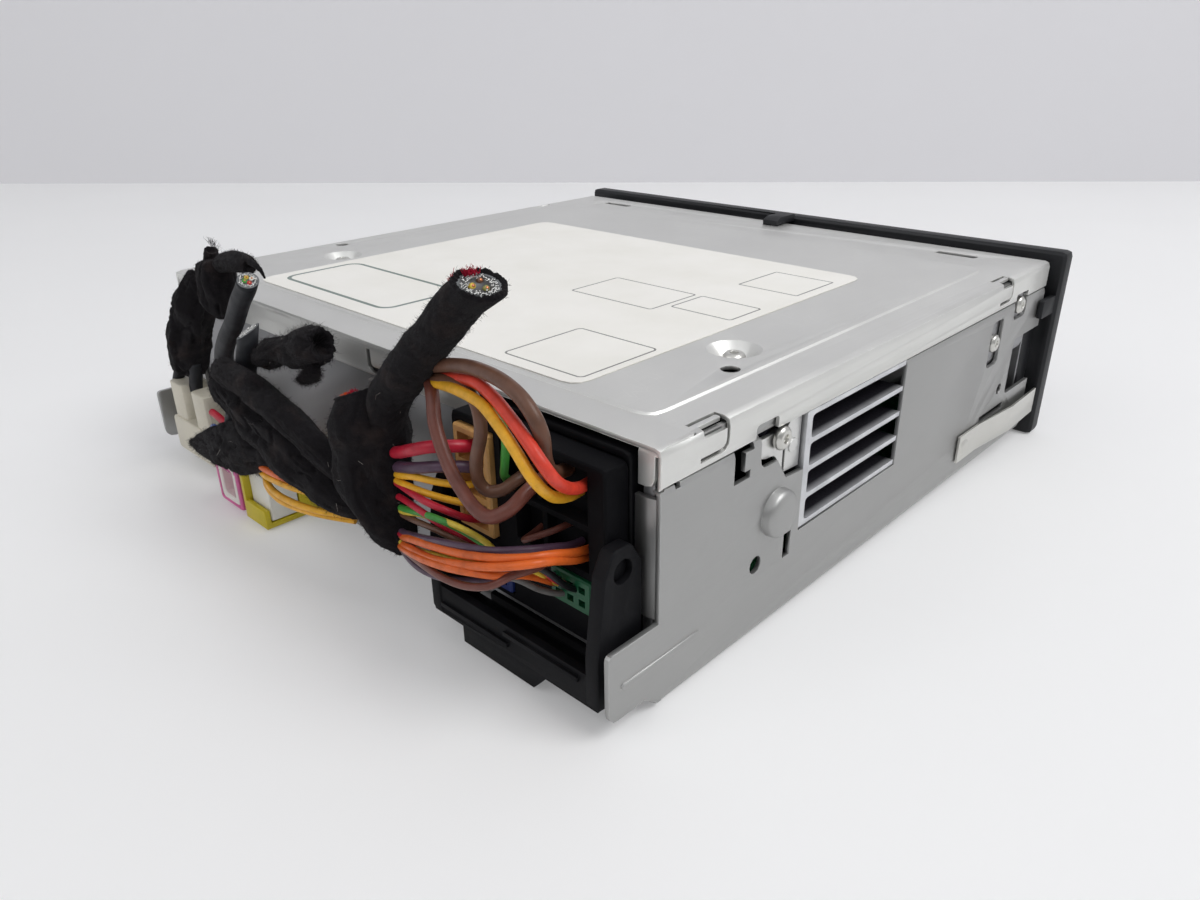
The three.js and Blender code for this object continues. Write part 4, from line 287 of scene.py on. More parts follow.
dull = plus(tree, times(tree, cloud_share, 1.2), 0.5)
tree.links.new(plus(tree, dull, times(tree, scuffs, -0.3), clamp=True), gives["Dullness"])
relief = plus(tree, times(tree, streak_share, 0.6), times(tree, grit, 0.25))
tree.links.new(plus(tree, relief, times(tree, scuffs, -0.6)), gives["Relief"])

# Painted highlight and wear on edges: a mask, in patches, where the rounded normal turns away from the true
# one. The materials use it to lighten edges, as a painted highlight together with rubbed wear.
edge_highlight_and_wear, takes, gives = shader_group("edge highlight and wear", [("Place", ()), ("Reach", 0.0004)], ["Rubbed"])
tree = edge_highlight_and_wear
round_normal = put(tree, "Bevel", samples=4, Radius=takes["Reach"]).outputs[0]
true_normal = put(tree, "NewGeometry").outputs["Normal"]
turned = put(tree, "VectorMath", round_normal, true_normal, operation="DOT_PRODUCT").outputs["Value"]
edge_mark_patches = between(tree, mottle(tree, takes["Place"], 420.0, 3.0), 0.35, 0.6)
tree.links.new(times(tree, between(tree, turned, 0.985, 0.8), edge_mark_patches), gives["Rubbed"])


def finished(tree, shader, height, strength, distance, **values):
    """Feeds a shader its colour and gloss, and lets its relief catch the light."""
    for name, value in values.items():
        feed(tree, shader.inputs[name.replace("_", " ")], value)
    bump = put(tree, "Bump", Strength=strength, Distance=distance, Height=height)
    tree.links.new(bump.outputs[0], shader.inputs["Normal"])


def steel(name, shown, roughness, streaks=0.3, clouds=0.5, scuffs=0.5, edge_mark_reach=0.0004):
    """Plated or bright sheet steel."""
    material, tree, metal, place = blank_material(name)
    finish = use_group(tree, sheet_finish, Place=place, Streaks=streaks, Clouds=clouds, Scuffs=scuffs)
    # Edges are painted lighter, partly as a painted highlight and partly as rubbed wear, and made a little
    # glossier.
    lit_and_worn_edge = use_group(tree, edge_highlight_and_wear, Place=place, Reach=edge_mark_reach)[0]
    body = mixed(tree, finish["Tone"], tinted(shown, 0.86), tinted(shown, 1.08))
    satin = between(tree, finish["Dullness"], 0.0, 1.0, roughness - 0.07, roughness + 0.09)
    finished(tree, metal, finish["Relief"], 0.3, 0.00002, Metallic=0.9,
             Base_Color=mixed(tree, lit_and_worn_edge, body, tinted(shown, 1.35)),
             Roughness=sums(tree, "SUBTRACT", satin, times(tree, lit_and_worn_edge, 0.12)))
    return material


def ease_edges(width, *names):
    """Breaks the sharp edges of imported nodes, as a press or a mould leaves them, and shades them smooth."""
    for name in names:
        piece = nodes[name]
        piece.data.shade_smooth()
        weld = piece.modifiers.new("weld", "WELD")
        weld.merge_threshold = 0.00001
        soften = piece.modifiers.new("eased edges", "BEVEL")
        soften.width = width
        soften.segments = 2
        soften.limit_method = "ANGLE"
        soften.angle_limit = math.radians(32)
        soften.harden_normals = True
        soften.use_clamp_overlap = True


def dress(material, *names, edge=None):
    """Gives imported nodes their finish, and eased edges where a width is given."""
    for name in names:
        for holder in nodes[name].material_slots:
            holder.material = material
    if edge:
        ease_edges(edge, *names)


dress(steel("tray steel", (170, 170, 169), 0.44), "chassis_tray", edge=0.00022)

# Rear panel, front plate, drive frame, mechanism plate and clamp arm. Inner pressings of duller plated
# steel, with the drive frame's tabs screwed to the side walls.
panel_steel = steel("panel steel", (168, 168, 170), 0.5)
dress(panel_steel, "rear_panel", edge=0.0002)
dress(panel_steel, "front_plate", "drive_frame", "mechanism_plate", "clamp_arm")

# Main board. Green glass-fibre board with darker tracks under its lacquer, a tinned tuner can, a black
# amplifier block and capacitors soldered on top. Above the height of their feet the parts are black.
circuit_board, tree, board, place = blank_material("circuit board")
track_place = put(tree, "Mapping", place, Scale=(700.0, 700.0, 1.0)).outputs[0]
tracks = put(tree, "TexBrick", Vector=track_place, Scale=0.4, Mortar_Size=0.06, Color1=(0, 0, 0, 1),
             Color2=(0, 0, 0, 1), Mortar=(1, 1, 1, 1)).outputs["Fac"]
islands = put(tree, "TexVoronoi", Vector=track_place, Scale=0.18).outputs[0]
green = mixed(tree, tracks, (22, 74, 48), (46, 112, 70))
tinned = mixed(tree, between(tree, islands, 0.1, 0.16, 1.0, 0.0), green, (188, 188, 180))
board_height = put(tree, "SeparateXYZ", place).outputs[2]
grain = mottle(tree, place, 900.0)
black = mixed(tree, between(tree, grain, 0.3, 0.7), (30, 31, 33), (50, 51, 54))
finished(tree, board, plus(tree, tracks, grain), 0.5, 0.00004,
         Base_Color=mixed(tree, between(tree, board_height, 0.0134, 0.0136), tinned, black),
         Roughness=between(tree, grain, 0.3, 0.7, 0.32, 0.52))
dress(circuit_board, "main_board")

# Disc mechanism. Rubber dampers carry a pressed plate with the spindle and sled motors, the turntable, the
# ground guide rod, the lead screw and the moulded pickup sled.
moulded_skin, takes, gives = shader_group(
    "moulded skin", [("Place", ()), ("Dust", 1.0)], ["Tone", "Relief", "Dusty"])
tree = moulded_skin
fine = mottle(tree, takes["Place"], 1400.0, 3.0, 0.6)
flow = mottle(tree, takes["Place"], 80.0, 4.0)
specks = put(tree, "TexVoronoi", Vector=takes["Place"], Scale=900.0, Randomness=1.0).outputs[0]
speck_dots = between(tree, specks, 0.05, 0.12, 1.0, 0.0)
dusty = times(tree, plus(tree, speck_dots, 0.35), between(tree, flow, 0.5, 0.72))
tree.links.new(times(tree, dusty, takes["Dust"], clamp=True), gives["Dusty"])
tree.links.new(plus(tree, times(tree, flow, 0.7), times(tree, fine, 0.3)), gives["Tone"])
tree.links.new(fine, gives["Relief"])


def plastic(name, shown, roughness, dust=0.5, spread=0.25, shine=0.4):
    """Moulded plastic with a fine mould grain, edges painted paler as a painted highlight together with
    rubbed wear, and a little dust.
    """
    material, tree, skin, place = blank_material(name)
    marks = use_group(tree, moulded_skin, Place=place, Dust=dust)
    lit_and_worn_edge = use_group(tree, edge_highlight_and_wear, Place=place, Reach=0.0003)[0]
    share = between(tree, marks["Tone"], 0.35, 0.65)
    body = mixed(tree, share, tinted(shown, 1 - spread), tinted(shown, 1 + spread))
    # Edges painted paler: partly a painted highlight, partly rubbed wear.
    body = mixed(tree, times(tree, lit_and_worn_edge, 0.6), body, tinted(shown, 1.5, 0.01))
    body = mixed(tree, times(tree, marks["Dusty"], 0.35), body, tinted(shown, 0.7, 0.09))
    satin = between(tree, marks["Tone"], 0.3, 0.7, roughness - 0.06, roughness + 0.08)
    finished(tree, skin, marks["Relief"], 0.6, 0.00003, Base_Color=body, Specular_IOR_Level=shine,
             Roughness=plus(tree, satin, times(tree, marks["Dusty"], 0.2)))
    return material


dress(plastic("damper rubber", (40, 38, 38), 0.78, dust=0.9),
      "rubber_damper_1", "rubber_damper_2", "rubber_damper_3", "feed_roller")
dress(steel("motor can steel", (205, 205, 203), 0.3, streaks=1.2),
      "spindle_motor", "sled_motor", "loading_motor", "guide_rod")
dress(steel("lead screw steel", (186, 180, 160), 0.3, streaks=2.0), "lead_screw")
dress(plastic("dark moulded plastic", (44, 45, 48), 0.5), "turntable", "pickup_sled")
dress(plastic("acetal", (222, 220, 210), 0.42, dust=0.3, spread=0.06), "loading_pinion", "clamp_puck")
ease_edges(0.00015, "feed_roller", "turntable", "clamp_puck", "spindle_motor", "sled_motor", "loading_motor")

# Top cover. A second pressing of brighter zinc-plated sheet with folded skirts, a raised field, dimples for
# its screws, lances and vent holes. Two Torx screws hold it.
dress(steel("cover steel", (222, 222, 219), 0.42, scuffs=0.8), "top_cover", edge=0.00022)
dress(steel("screw steel", (206, 205, 200), 0.28, streaks=0.4, edge_mark_reach=0.0002),
      "cover_screw_1", "cover_screw_2", "heat_sink_screw", "drive_screw_right_1", "drive_screw_right_2",
      "drive_screw_left_1", "drive_screw_left_2", edge=0.00012)

# Label. A printed sticker of matt white film on the cover, bare apart from plain ruled boxes: four thin
# ones, and one heavier box with round corners in grey-green.
ruled_box, takes, gives = shader_group(
    "ruled box",
    [("Place", ()), ("Middle", ()), ("Half", ()), ("Corner", 0.0005), ("Line", 0.0003)],
    ["Ink"],
)
tree = ruled_box
shift = put(tree, "VectorMath", takes["Place"], takes["Middle"], operation="SUBTRACT").outputs[0]
fold = put(tree, "VectorMath", shift, operation="ABSOLUTE").outputs[0]
past_half = put(tree, "VectorMath", fold, takes["Half"], operation="SUBTRACT").outputs[0]
past = put(tree, "SeparateXYZ", past_half).outputs
past_x = plus(tree, past[0], takes["Corner"])
past_y = plus(tree, past[1], takes["Corner"])
outside_x = sums(tree, "MAXIMUM", past_x, 0.0)
outside = put(tree, "CombineXYZ", outside_x, sums(tree, "MAXIMUM", past_y, 0.0), 0.0).outputs[0]
outside_length = put(tree, "VectorMath", outside, operation="LENGTH").outputs["Value"]
inside_depth = sums(tree, "MINIMUM", sums(tree, "MAXIMUM", past_x, past_y), 0.0)
away = sums(tree, "SUBTRACT", plus(tree, outside_length, inside_depth), takes["Corner"])
half_line = times(tree, takes["Line"], 0.5)
tree.links.new(sums(tree, "LESS_THAN", sums(tree, "ABSOLUTE", away), half_line), gives["Ink"])

label_film, tree, film, place = blank_material("label film")
smear = mottle(tree, place, 60.0, 4.0)


def box_ink(x, y, half_x, half_y, corner, line):
    """Where the ink of one ruled box lies."""
    return use_group(tree, ruled_box, Place=place, Middle=(x, y, 0.0), Half=(half_x, half_y, 0.0),
                     Corner=corner, Line=line)[0]


thin_ink = 0.0
for box in (
    (-0.047, 0.0559, 0.011, 0.011, 0.0012),
    (-0.0485, 0.0129, 0.0085, 0.006, 0.0008),
    (-0.025, 0.0154, 0.013, 0.0085, 0.0008),
    (-0.0485, -0.0166, 0.0085, 0.0085, 0.0004),
):
    thin_ink = sums(tree, "MAXIMUM", thin_ink, box_ink(*box, 0.00045))
heavy_ink = box_ink(0.0325, 0.0539, 0.0235, 0.011, 0.0035, 0.0011)
printed = mixed(tree, between(tree, smear, 0.35, 0.7), (246, 244, 238), (240, 238, 231))
printed = mixed(tree, times(tree, thin_ink, 0.85), printed, (74, 76, 76))
printed = mixed(tree, times(tree, heavy_ink, 0.9), printed, (92, 112, 106))
finished(tree, film, mottle(tree, place, 3000.0), 0.3, 0.00002,
         Base_Color=printed, Roughness=between(tree, smear, 0.3, 0.7, 0.42, 0.58))
dress(label_film, "rating_label")

# Heat sink, its bracket and its screw. A die-cast aluminium comb stands in the side window, with fettled fin
# edges, held by a small bright steel bracket. Deep in its pockets the colour is painted dark as painted
# shade, so the fin edges look bright.
cast_aluminium, tree, metal, place = blank_material("cast aluminium")
cast_skin = mottle(tree, place, 1500.0, 4.0, 0.7)
cast_clouds = between(tree, mottle(tree, place, 140.0, 3.0), 0.3, 0.7)
# Painted shade: further in than the fin tips, inside the pockets, the colour turns dark grey-violet where
# shade falls in the recesses.
pocket_painted_shade = between(tree, put(tree, "SeparateXYZ", place).outputs[0], -0.0884, -0.0868)
casting = mixed(tree, cast_clouds, (196, 197, 200), (222, 223, 225))
finished(tree, metal, cast_skin, 0.6, 0.00005, Metallic=0.85,
         Base_Color=mixed(tree, pocket_painted_shade, casting, (56, 54, 62)),
         Roughness=between(tree, cast_skin, 0.3, 0.7, 0.38, 0.6))
dress(cast_aluminium, "heat_sink", edge=0.0002)
dress(steel("bracket steel", (214, 214, 212), 0.3, clouds=0.6), "heat_sink_bracket", edge=0.00012)

# Leaf springs. Bright spring steel strips riveted to the side walls, which ground the unit in its cage.
dress(steel("spring steel", (212, 211, 206), 0.4, clouds=0.3, scuffs=0.2),
      "leaf_spring_right", "leaf_spring_left", edge=0.00012)

# Bezel, eject button and dust curtain. The fascia is moulded in black and hooked over the case, with a
# sprung button and a felt curtain behind the disc slot.
dress(plastic("bezel plastic", (27, 28, 31), 0.5, dust=0.4, shine=0.3), "front_bezel", edge=0.0003)
dress(plastic("button plastic", (28, 29, 32), 0.42, dust=0.3, shine=0.35), "eject_button", edge=0.0003)
felt, tree, cloth, place = blank_material("felt")
hairs = mottle(tree, place, 2400.0, 5.0, 0.8)
finished(tree, cloth, hairs, 1.0, 0.0001, Roughness=0.95, Sheen_Weight=0.3,
         Base_Color=mixed(tree, hairs, (18, 18, 19), (48, 47, 48)))
dress(felt, "dust_curtain")

# Header, plug and lock lever. The black header is soldered to the board and shows in the rear opening. The
# plug housing carries a tan, a blue and a green contact insert, and the U-shaped lever locks it in. A black
# apron under the plug hides the tray's lip.
black_plastic = plastic("black plastic", (14, 14, 17), 0.56, dust=0.35, shine=0.12)
dress(black_plastic, "connector_header", "lock_lever", edge=0.00025)
plug_plastic = plastic("plug plastic", (11, 11, 14), 0.62, dust=0.2, shine=0.08)
dress(plug_plastic, "plug_housing", edge=0.00018)
dress(plastic("tan plastic", (196, 150, 92), 0.45, dust=0.2, spread=0.12), "tan_insert")
dress(plastic("blue plastic", (24, 40, 96), 0.42, dust=0.3), "blue_insert")
dress(plastic("green plastic", (16, 80, 50), 0.42, dust=0.3), "green_insert")
chassis_in_frame = Vector((0, -0.0031, 0.00295))


def in_frame(point):
    """A point of the chassis drawing, in millimetres, as a place in the frame, in metres."""
    return Vector(point[:3]) / 1000 + chassis_in_frame


def skin_over(name, ring_sets, material, stands_for=None, smooth=True):
    """One piece with a skin over each set of rings, closed at both ends."""
    points, faces = [], []
    for rings in ring_sets:
        first = len(points)
        count = len(rings[0])
        for ring in rings:
            points.extend(ring)
        for i in range(len(rings) - 1):
            for k in range(count):
                a, b = first + i * count + k, first + i * count + (k + 1) % count
                faces.append((a, b, b + count, a + count))
        faces.append(tuple(range(first + count - 1, first - 1, -1)))
        last = first + (len(rings) - 1) * count
        faces.append(tuple(range(last, last + count)))
    mesh = bpy.data.meshes.new(name)
    mesh.from_pydata([tuple(p) for p in points], [], faces)
    if smooth:
        mesh.shade_smooth()
    mesh.materials.append(material)
    piece = bpy.data.objects.new(name, mesh)
    bpy.context.scene.collection.objects.link(piece)
    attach(piece, "case")
    if stands_for:
        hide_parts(stands_for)
    return piece


def oblong_ring(middle, half, y, drawn_in, corner=0.0012):
    """One upright oblong with round corners, at its place along the unit and drawn in by a little."""
    ring = []
    for k in range(32):
        angle = math.tau * (k + 0.5) / 32
        x = math.copysign(half[0] - drawn_in - corner, math.cos(angle)) + corner * math.cos(angle)
        z = math.copysign(half[1] - drawn_in - corner, math.sin(angle)) + corner * math.sin(angle)
        ring.append(Vector((middle[0] + x, y, middle[1] + z)))
    return ring


apron_middle = in_frame((-62.6, 0, 3.4))
apron_half = (0.0172, 0.0022)
apron_corner = 0.0008
apron = [
    oblong_ring((apron_middle.x, apron_middle.z), apron_half, in_frame((0, y, 0)).y, drawn_in, apron_corner)
    for y, drawn_in in ((84.1, 0.0003), (84.3, 0), (85.1, 0), (85.3, 0.0003))
]
skin_over("plug_apron", [apron], plug_plastic, smooth=False)

# Antenna and data connectors. Cream, magenta and yellow housings, each keyed by its colour, snapped into the
# lower edge of the rear panel. The magenta and the yellow one have white contact inserts.
cream_plastic = plastic("cream plastic", (206, 200, 184), 0.45, spread=0.08)
dress(cream_plastic, "white_connector", edge=0.00025)
white_plastic = plastic("white plastic", (228, 226, 218), 0.45, dust=0.3, spread=0.05)
dress(white_plastic, "yellow_insert", edge=0.00025)
magenta_plastic = plastic("magenta plastic", (212, 102, 158), 0.42, dust=0.2, spread=0.1)
dress(magenta_plastic, "magenta_connector", edge=0.0002)
yellow_plastic = plastic("yellow plastic", (206, 186, 42), 0.4, dust=0.2, spread=0.1)
dress(yellow_plastic, "yellow_connector", edge=0.00025)
magenta_low, magenta_high = (Vector(corner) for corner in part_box("magenta_connector"))
magenta_middle = (magenta_low + magenta_high) / 2
magenta_half = (magenta_high - magenta_low) / 2
insert_middle = (magenta_middle.x, magenta_middle.z + 0.0006)
insert_half = (magenta_half.x - 0.0014, magenta_half.z - 0.0004)
insert_steps = ((-0.012, 0), (-0.0003, 0), (0, 0.0003), (0, 0.0013), (-0.0003, 0.0016), (-0.0045, 0.0017))
insert = [
    oblong_ring(insert_middle, insert_half, magenta_high.y + back, drawn_in)
    for back, drawn_in in insert_steps
]
skin_over("magenta_insert", [insert], white_plastic, smooth=False)


# Wires of the main plug. Thin PVC-insulated copper wires that leave the taped branch, bow out behind the
# unit and end in the plug's cells. The harness was cut off, so only this stretch is left.
def smooth_path(points, step):
    """Places along one smooth curve through the given points, about a step apart, each with its radius."""
    knots = [tuple(in_frame(p)) + (p[3] / 1000 if len(p) > 3 else 0.0,) for p in points]
    before_first = tuple(2 * a - b for a, b in zip(knots[0], knots[1]))
    after_last = tuple(2 * a - b for a, b in zip(knots[-1], knots[-2]))
    line = [before_first] + knots + [after_last]
    found = []
    for four in zip(line, line[1:], line[2:], line[3:]):
        count = max(2, round((Vector(four[2][:3]) - Vector(four[1][:3])).length / step))
        for i in range(count):
            t = i / count
            weights = (
                -t ** 3 + 2 * t ** 2 - t,
                3 * t ** 3 - 5 * t ** 2 + 2,
                -3 * t ** 3 + 4 * t ** 2 + t,
                t ** 3 - t ** 2,
            )
            found.append(tuple(sum(w * p[k] for w, p in zip(weights, four)) / 2 for k in range(4)))
    found.append(knots[-1])
    return found


def insulation(name, shown, roughness=0.36, shine=0.35):
    """Extruded PVC: a soft gloss, slight flow marks and handling dirt."""
    material, tree, skin, place = blank_material(name)
    dirt = mottle(tree, place, 260.0, 4.0, 0.65)
    finished(tree, skin, mottle(tree, place, 1800.0), 0.35, 0.00003, Specular_IOR_Level=shine,
             Base_Color=mixed(tree, between(tree, dirt, 0.32, 0.6), tinted(shown, 0.8), tinted(shown, 1.1)),
             Roughness=between(tree, dirt, 0.3, 0.7, roughness + 0.12, roughness - 0.06))
    return material


pvc = {}
for hue, shown, slot in (
    ("brown", (98, 67, 52), "brown_insulation"),
    ("russet", (106, 60, 50), "brown_insulation"),
    ("crimson", (176, 28, 50), "red_insulation"),
    ("red", (206, 62, 44), "red_insulation"),
    ("yellow", (222, 164, 40), "yellow_insulation"),
    ("lemon", (216, 190, 72), "yellow_insulation"),
    ("orange", (208, 96, 36), "orange_insulation"),
    ("green", (66, 142, 60), "green_insulation"),
    ("violet", (78, 58, 76), "brown_insulation"),
    ("black", (24, 23, 26), "grey_jacket"),
    ("grey", (104, 102, 100), "grey_jacket"),
    ("blue", (40, 92, 176), "green_insulation"),
):
    pvc[hue] = (insulation(hue + " insulation", shown), slot)


def wire(name, route, diameter_mm, hue, stands_for=None):
    """One insulated wire along its route."""
    path = smooth_path(route, 0.0008)
    data = bpy.data.curves.new(name, "CURVE")
    data.dimensions = "3D"
    data.bevel_depth = diameter_mm / 2000
    data.bevel_resolution = 4
    data.use_fill_caps = True
    spline = data.splines.new("POLY")
    spline.points.add(len(path) - 1)
    for knot, point in zip(spline.points, path):
        knot.co = point[:3] + (1.0,)
    spline.use_smooth = True
    material, slot = pvc[hue]
    data.materials.append(material)
    piece = bpy.data.objects.new(name, data)
    bpy.context.scene.collection.objects.link(piece)
    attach(piece, "case")
    if stands_for:
        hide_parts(stands_for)


wire("brown_wire_over", [
    (-39.6, 91.8, 54.4), (-45.4, 93.2, 56.4), (-53.5, 95.2, 59), (-60, 96.4, 60.4), (-68, 97.8, 60.9),
    (-73.6, 98.7, 60), (-77, 98.9, 57.6), (-78.2, 98.4, 54.2), (-76.8, 96.8, 49.6), (-74.8, 94, 46),
    (-73, 90.8, 43.9), (-71.6, 86.9, 42.8),
], 2.5, "brown", "brown_wire_1")
wire("brown_wire_loop", [
    (-37.8, 91.6, 52.2), (-42.6, 93, 53.2), (-46.1, 95, 51.4), (-48.6, 96.8, 47.8), (-51.4, 97.8, 44.2),
    (-55, 98.8, 41), (-59.6, 99.8, 38.6), (-63.6, 100.4, 37.2), (-67, 100.2, 37.2), (-69.6, 98.4, 39),
    (-69.8, 94.8, 40.8), (-69.2, 91, 41.4), (-68.9, 86.9, 41.4),
], 2.5, "russet", "brown_wire_2")
wire("brown_wire_inner", [
    (-43, 92.6, 53.4), (-49.6, 94.2, 55), (-55, 95.4, 55.8), (-59.6, 96.6, 55.4), (-62, 97.4, 53.4),
    (-61.8, 97.2, 49.5), (-59.8, 97, 44.1), (-59.4, 96.6, 40.1), (-60.4, 95.6, 38), (-62.4, 94, 38.2),
    (-63.4, 92, 39.4), (-63.6, 89.6, 40), (-63.6, 86.9, 40),
], 2.3, "brown")
wire("crimson_power_wire", [
    (-27, 94.6, 34), (-31, 95.4, 36), (-36.7, 97, 38.3), (-42.6, 98, 41), (-47, 96.9, 42.6),
    (-49.6, 93.6, 42.4), (-50.2, 90.8, 41.7), (-50.2, 88.6, 41.6),
], 2.4, "crimson", "red_power_wire")
wire("plum_power_wire", [
    (-27, 94.6, 31.6), (-31, 95.4, 33), (-36.1, 96.6, 34.8), (-42.2, 97.4, 37), (-47, 96.2, 38.4),
    (-49.8, 93, 38.2), (-50.4, 90.6, 37.4), (-50.4, 88.4, 37.2),
], 2.3, "violet")
wire("red_speaker_wire", [
    (-41.2, 91.8, 52.9), (-49.5, 93.5, 55.4), (-60.2, 96.4, 58), (-66.8, 98.2, 57.8), (-72.6, 99.6, 56.1),
    (-77.4, 100.6, 54), (-80.6, 100.7, 51.4), (-81.2, 98.8, 48.2), (-79.9, 95.2, 45.2), (-78.2, 91, 43),
    (-76.8, 86.9, 42.1),
], 2.1, "red", "speaker_wire_red")
wire("yellow_speaker_wire", [
    (-40.3, 92.3, 52.1), (-48.2, 94.4, 54), (-57.1, 97.4, 56), (-65, 99.2, 56.4), (-70.6, 100.6, 54.9),
    (-75.4, 101.6, 52.6), (-78.8, 101.8, 49.6), (-79.4, 99.8, 46.4), (-77.8, 95.8, 43),
    (-75.8, 90.8, 40.6), (-74.4, 86.9, 39.6),
], 1.9, "yellow", "speaker_wire_yellow")
wire("green_wire_upper", [
    (-49, 93.4, 54.8), (-56.6, 95.2, 56.8), (-62.2, 96.6, 57.4), (-65.4, 97, 56.8), (-66.4, 96.6, 54.4),
    (-65.6, 95.2, 49), (-63.6, 94, 43.7), (-61.4, 92.4, 39.9), (-60.4, 89.6, 37.6), (-60.2, 86.9, 37.2),
], 1.5, "green")
wire("yellow_signal_wire_1", [
    (-24, 94.6, 29.6), (-29, 95, 31), (-35.8, 97, 33.2), (-41.6, 97.5, 35), (-46.4, 95.6, 34.8),
    (-49.6, 92, 34), (-50.4, 88.6, 33.8),
], 1.4, "yellow")
wire("yellow_signal_wire_2", [
    (-24, 94.6, 28.6), (-29, 95, 30), (-35.4, 97, 31.6), (-43.9, 97.5, 32.6), (-48.4, 95, 31.6),
    (-51, 92, 30.6), (-51.4, 88.6, 30.2),
], 1.4, "yellow")
wire("crimson_signal_wire", [
    (-27, 95, 29.6), (-35.4, 97, 31), (-44.9, 98.8, 32), (-49.6, 97.4, 31), (-51.4, 94, 28.6),
    (-51.2, 90.6, 26.8), (-51, 88.4, 26.4),
], 1.4, "crimson")
wire("red_signal_wire", [
    (-27, 95, 25.6), (-34.8, 97, 28.1), (-44.5, 99.4, 30), (-49.4, 98.6, 28.6), (-52, 95.4, 25.4),
    (-52.4, 91.6, 21.6), (-52.4, 87.8, 19.8),
], 1.3, "crimson")
wire("green_signal_wire", [
    (-27, 95, 24), (-35.1, 97, 25.8), (-44.3, 99, 29), (-50.4, 99.4, 30.2), (-54.6, 97.6, 28.8),
    (-55.8, 94.4, 25.4), (-55.8, 91, 21.8), (-55.8, 87.8, 20.2),
], 1.3, "green", "signal_wires")
wire("lemon_signal_wire", [
    (-27, 95, 23.4), (-34.9, 97, 25.1), (-42.7, 98.4, 28), (-49.6, 99, 29.8), (-55.2, 98, 29.6),
    (-57.6, 95, 26.6), (-57.6, 91.4, 22), (-57.4, 87.8, 20.2),
], 1.2, "lemon")
wire("brown_signal_wire", [
    (-27, 95, 22.8), (-35.5, 97, 24.4), (-41.2, 98.4, 26), (-48.7, 98.8, 27), (-52.6, 97, 25.4),
    (-54.2, 93.6, 22.4), (-54.2, 90.4, 19.4), (-54.2, 87.8, 18.2),
], 1.2, "brown")
wire("violet_signal_wire", [
    (-28, 95.4, 20), (-34.8, 97.6, 20.8), (-46, 101, 25.4), (-58, 103, 29.8), (-68.6, 102.6, 32.6),
    (-73.2, 99, 33), (-74.4, 93.6, 31.6), (-74.6, 90, 30.4), (-74.6, 86.9, 30),
], 1.4, "violet")
wire("orange_wire_1", [
    (-29, 95.4, 19.2), (-34.6, 97.6, 19.8), (-43.6, 101, 24), (-52.8, 103, 27.2), (-62.9, 104, 30.2),
    (-71.2, 103.8, 32.8), (-76, 101, 33.6), (-77.8, 96.6, 33), (-77.6, 91.6, 31), (-77, 86.9, 29.6),
], 1.5, "orange", "orange_wires")
wire("orange_wire_2", [
    (-29, 95.4, 18), (-34.4, 97.6, 18.3), (-43.4, 101, 21.8), (-54.4, 104, 25.6), (-65, 105, 29.4),
    (-72.6, 104.4, 32), (-77.2, 101.8, 33.2), (-78.4, 97.6, 32.4), (-77.6, 91.8, 29.6),
    (-76.8, 86.9, 27.9),
], 1.5, "orange", "orange_wires")
wire("orange_wire_3", [
    (-29, 95.4, 17), (-33.5, 97.6, 17.3), (-42, 101, 20.6), (-51.4, 104, 24.2), (-60, 105.4, 27),
    (-66.7, 105.2, 28.8), (-71.4, 103.2, 29.2), (-72.6, 99.2, 28), (-72, 94.8, 25), (-71.2, 91, 22),
    (-71.2, 87.9, 21),
], 1.4, "orange", "orange_wires")
wire("russet_signal_wire", [
    (-29, 95.4, 16.4), (-33.4, 97.4, 16.6), (-43.1, 101.2, 20.4), (-51.8, 104, 23), (-58.6, 105.2, 24.2),
    (-65, 105.2, 25.4), (-70.4, 104.4, 27.4), (-73.2, 102, 29.4), (-74.4, 97.6, 29.4), (-73.6, 93, 28.6),
    (-73, 89.6, 28.2), (-73, 86.9, 28),
], 1.4, "russet", "orange_wires")
wire("plum_signal_wire", [
    (-29, 95, 15.8), (-32.6, 96.8, 16), (-40.6, 100, 17.8), (-47.4, 101.8, 19.2), (-54.5, 102.2, 20.8),
    (-61, 101.6, 22.8), (-66.6, 99.6, 24.6), (-69.6, 95.8, 25), (-71, 91.4, 23.4), (-71.4, 87.9, 23),
], 1.3, "violet")
wire("lemon_wire_to_green_insert", [
    (-29, 95.6, 17.6), (-36, 98.4, 19), (-46, 101.2, 22.6), (-56, 102.4, 25.8), (-66, 102, 28.6),
    (-71.4, 100, 29.4), (-72.6, 96.4, 27.4), (-71.6, 92.8, 23.6), (-71.6, 87.9, 19.8),
], 1.2, "lemon")
wire("red_wire_to_green_insert", [
    (-29, 95.8, 18.8), (-38, 99, 21.4), (-50, 101.8, 25.6), (-62, 102.2, 29.4), (-70.6, 100.6, 31.2),
    (-74, 97, 29.4), (-73.8, 92.8, 24.4), (-73.8, 87.9, 20.4),
], 1.2, "crimson")
wire("black_wire_to_green_insert", [
    (-29, 95.6, 18.2), (-37, 98.6, 20.6), (-48, 101, 24.6), (-60, 101.4, 28.4), (-69.6, 99.6, 30.2),
    (-74.4, 96.4, 28.6), (-75.8, 92.2, 23.8), (-76.2, 87.9, 20.8),
], 1.2, "black")
wire("grey_wire_to_green_insert", [
    (-29, 95.2, 16.8), (-36, 98, 18.4), (-47, 101, 21.6), (-58, 102.2, 24.6), (-67, 101.4, 27),
    (-70.6, 98.6, 26), (-71.4, 94.6, 22.4), (-72.8, 91.4, 20.6), (-73.6, 87.9, 19.8),
], 1.2, "grey")
wire("brown_wire_low", [
    (-64.4, 86.9, 29), (-64.4, 89.4, 28.4), (-65.4, 92.2, 28.8), (-68.2, 93, 30.6), (-71.2, 90.6, 32.2),
    (-72, 86.9, 32.6), (-72, 79.4, 32.6), (-72, 71.9, 32.6),
], 1.2, "russet")

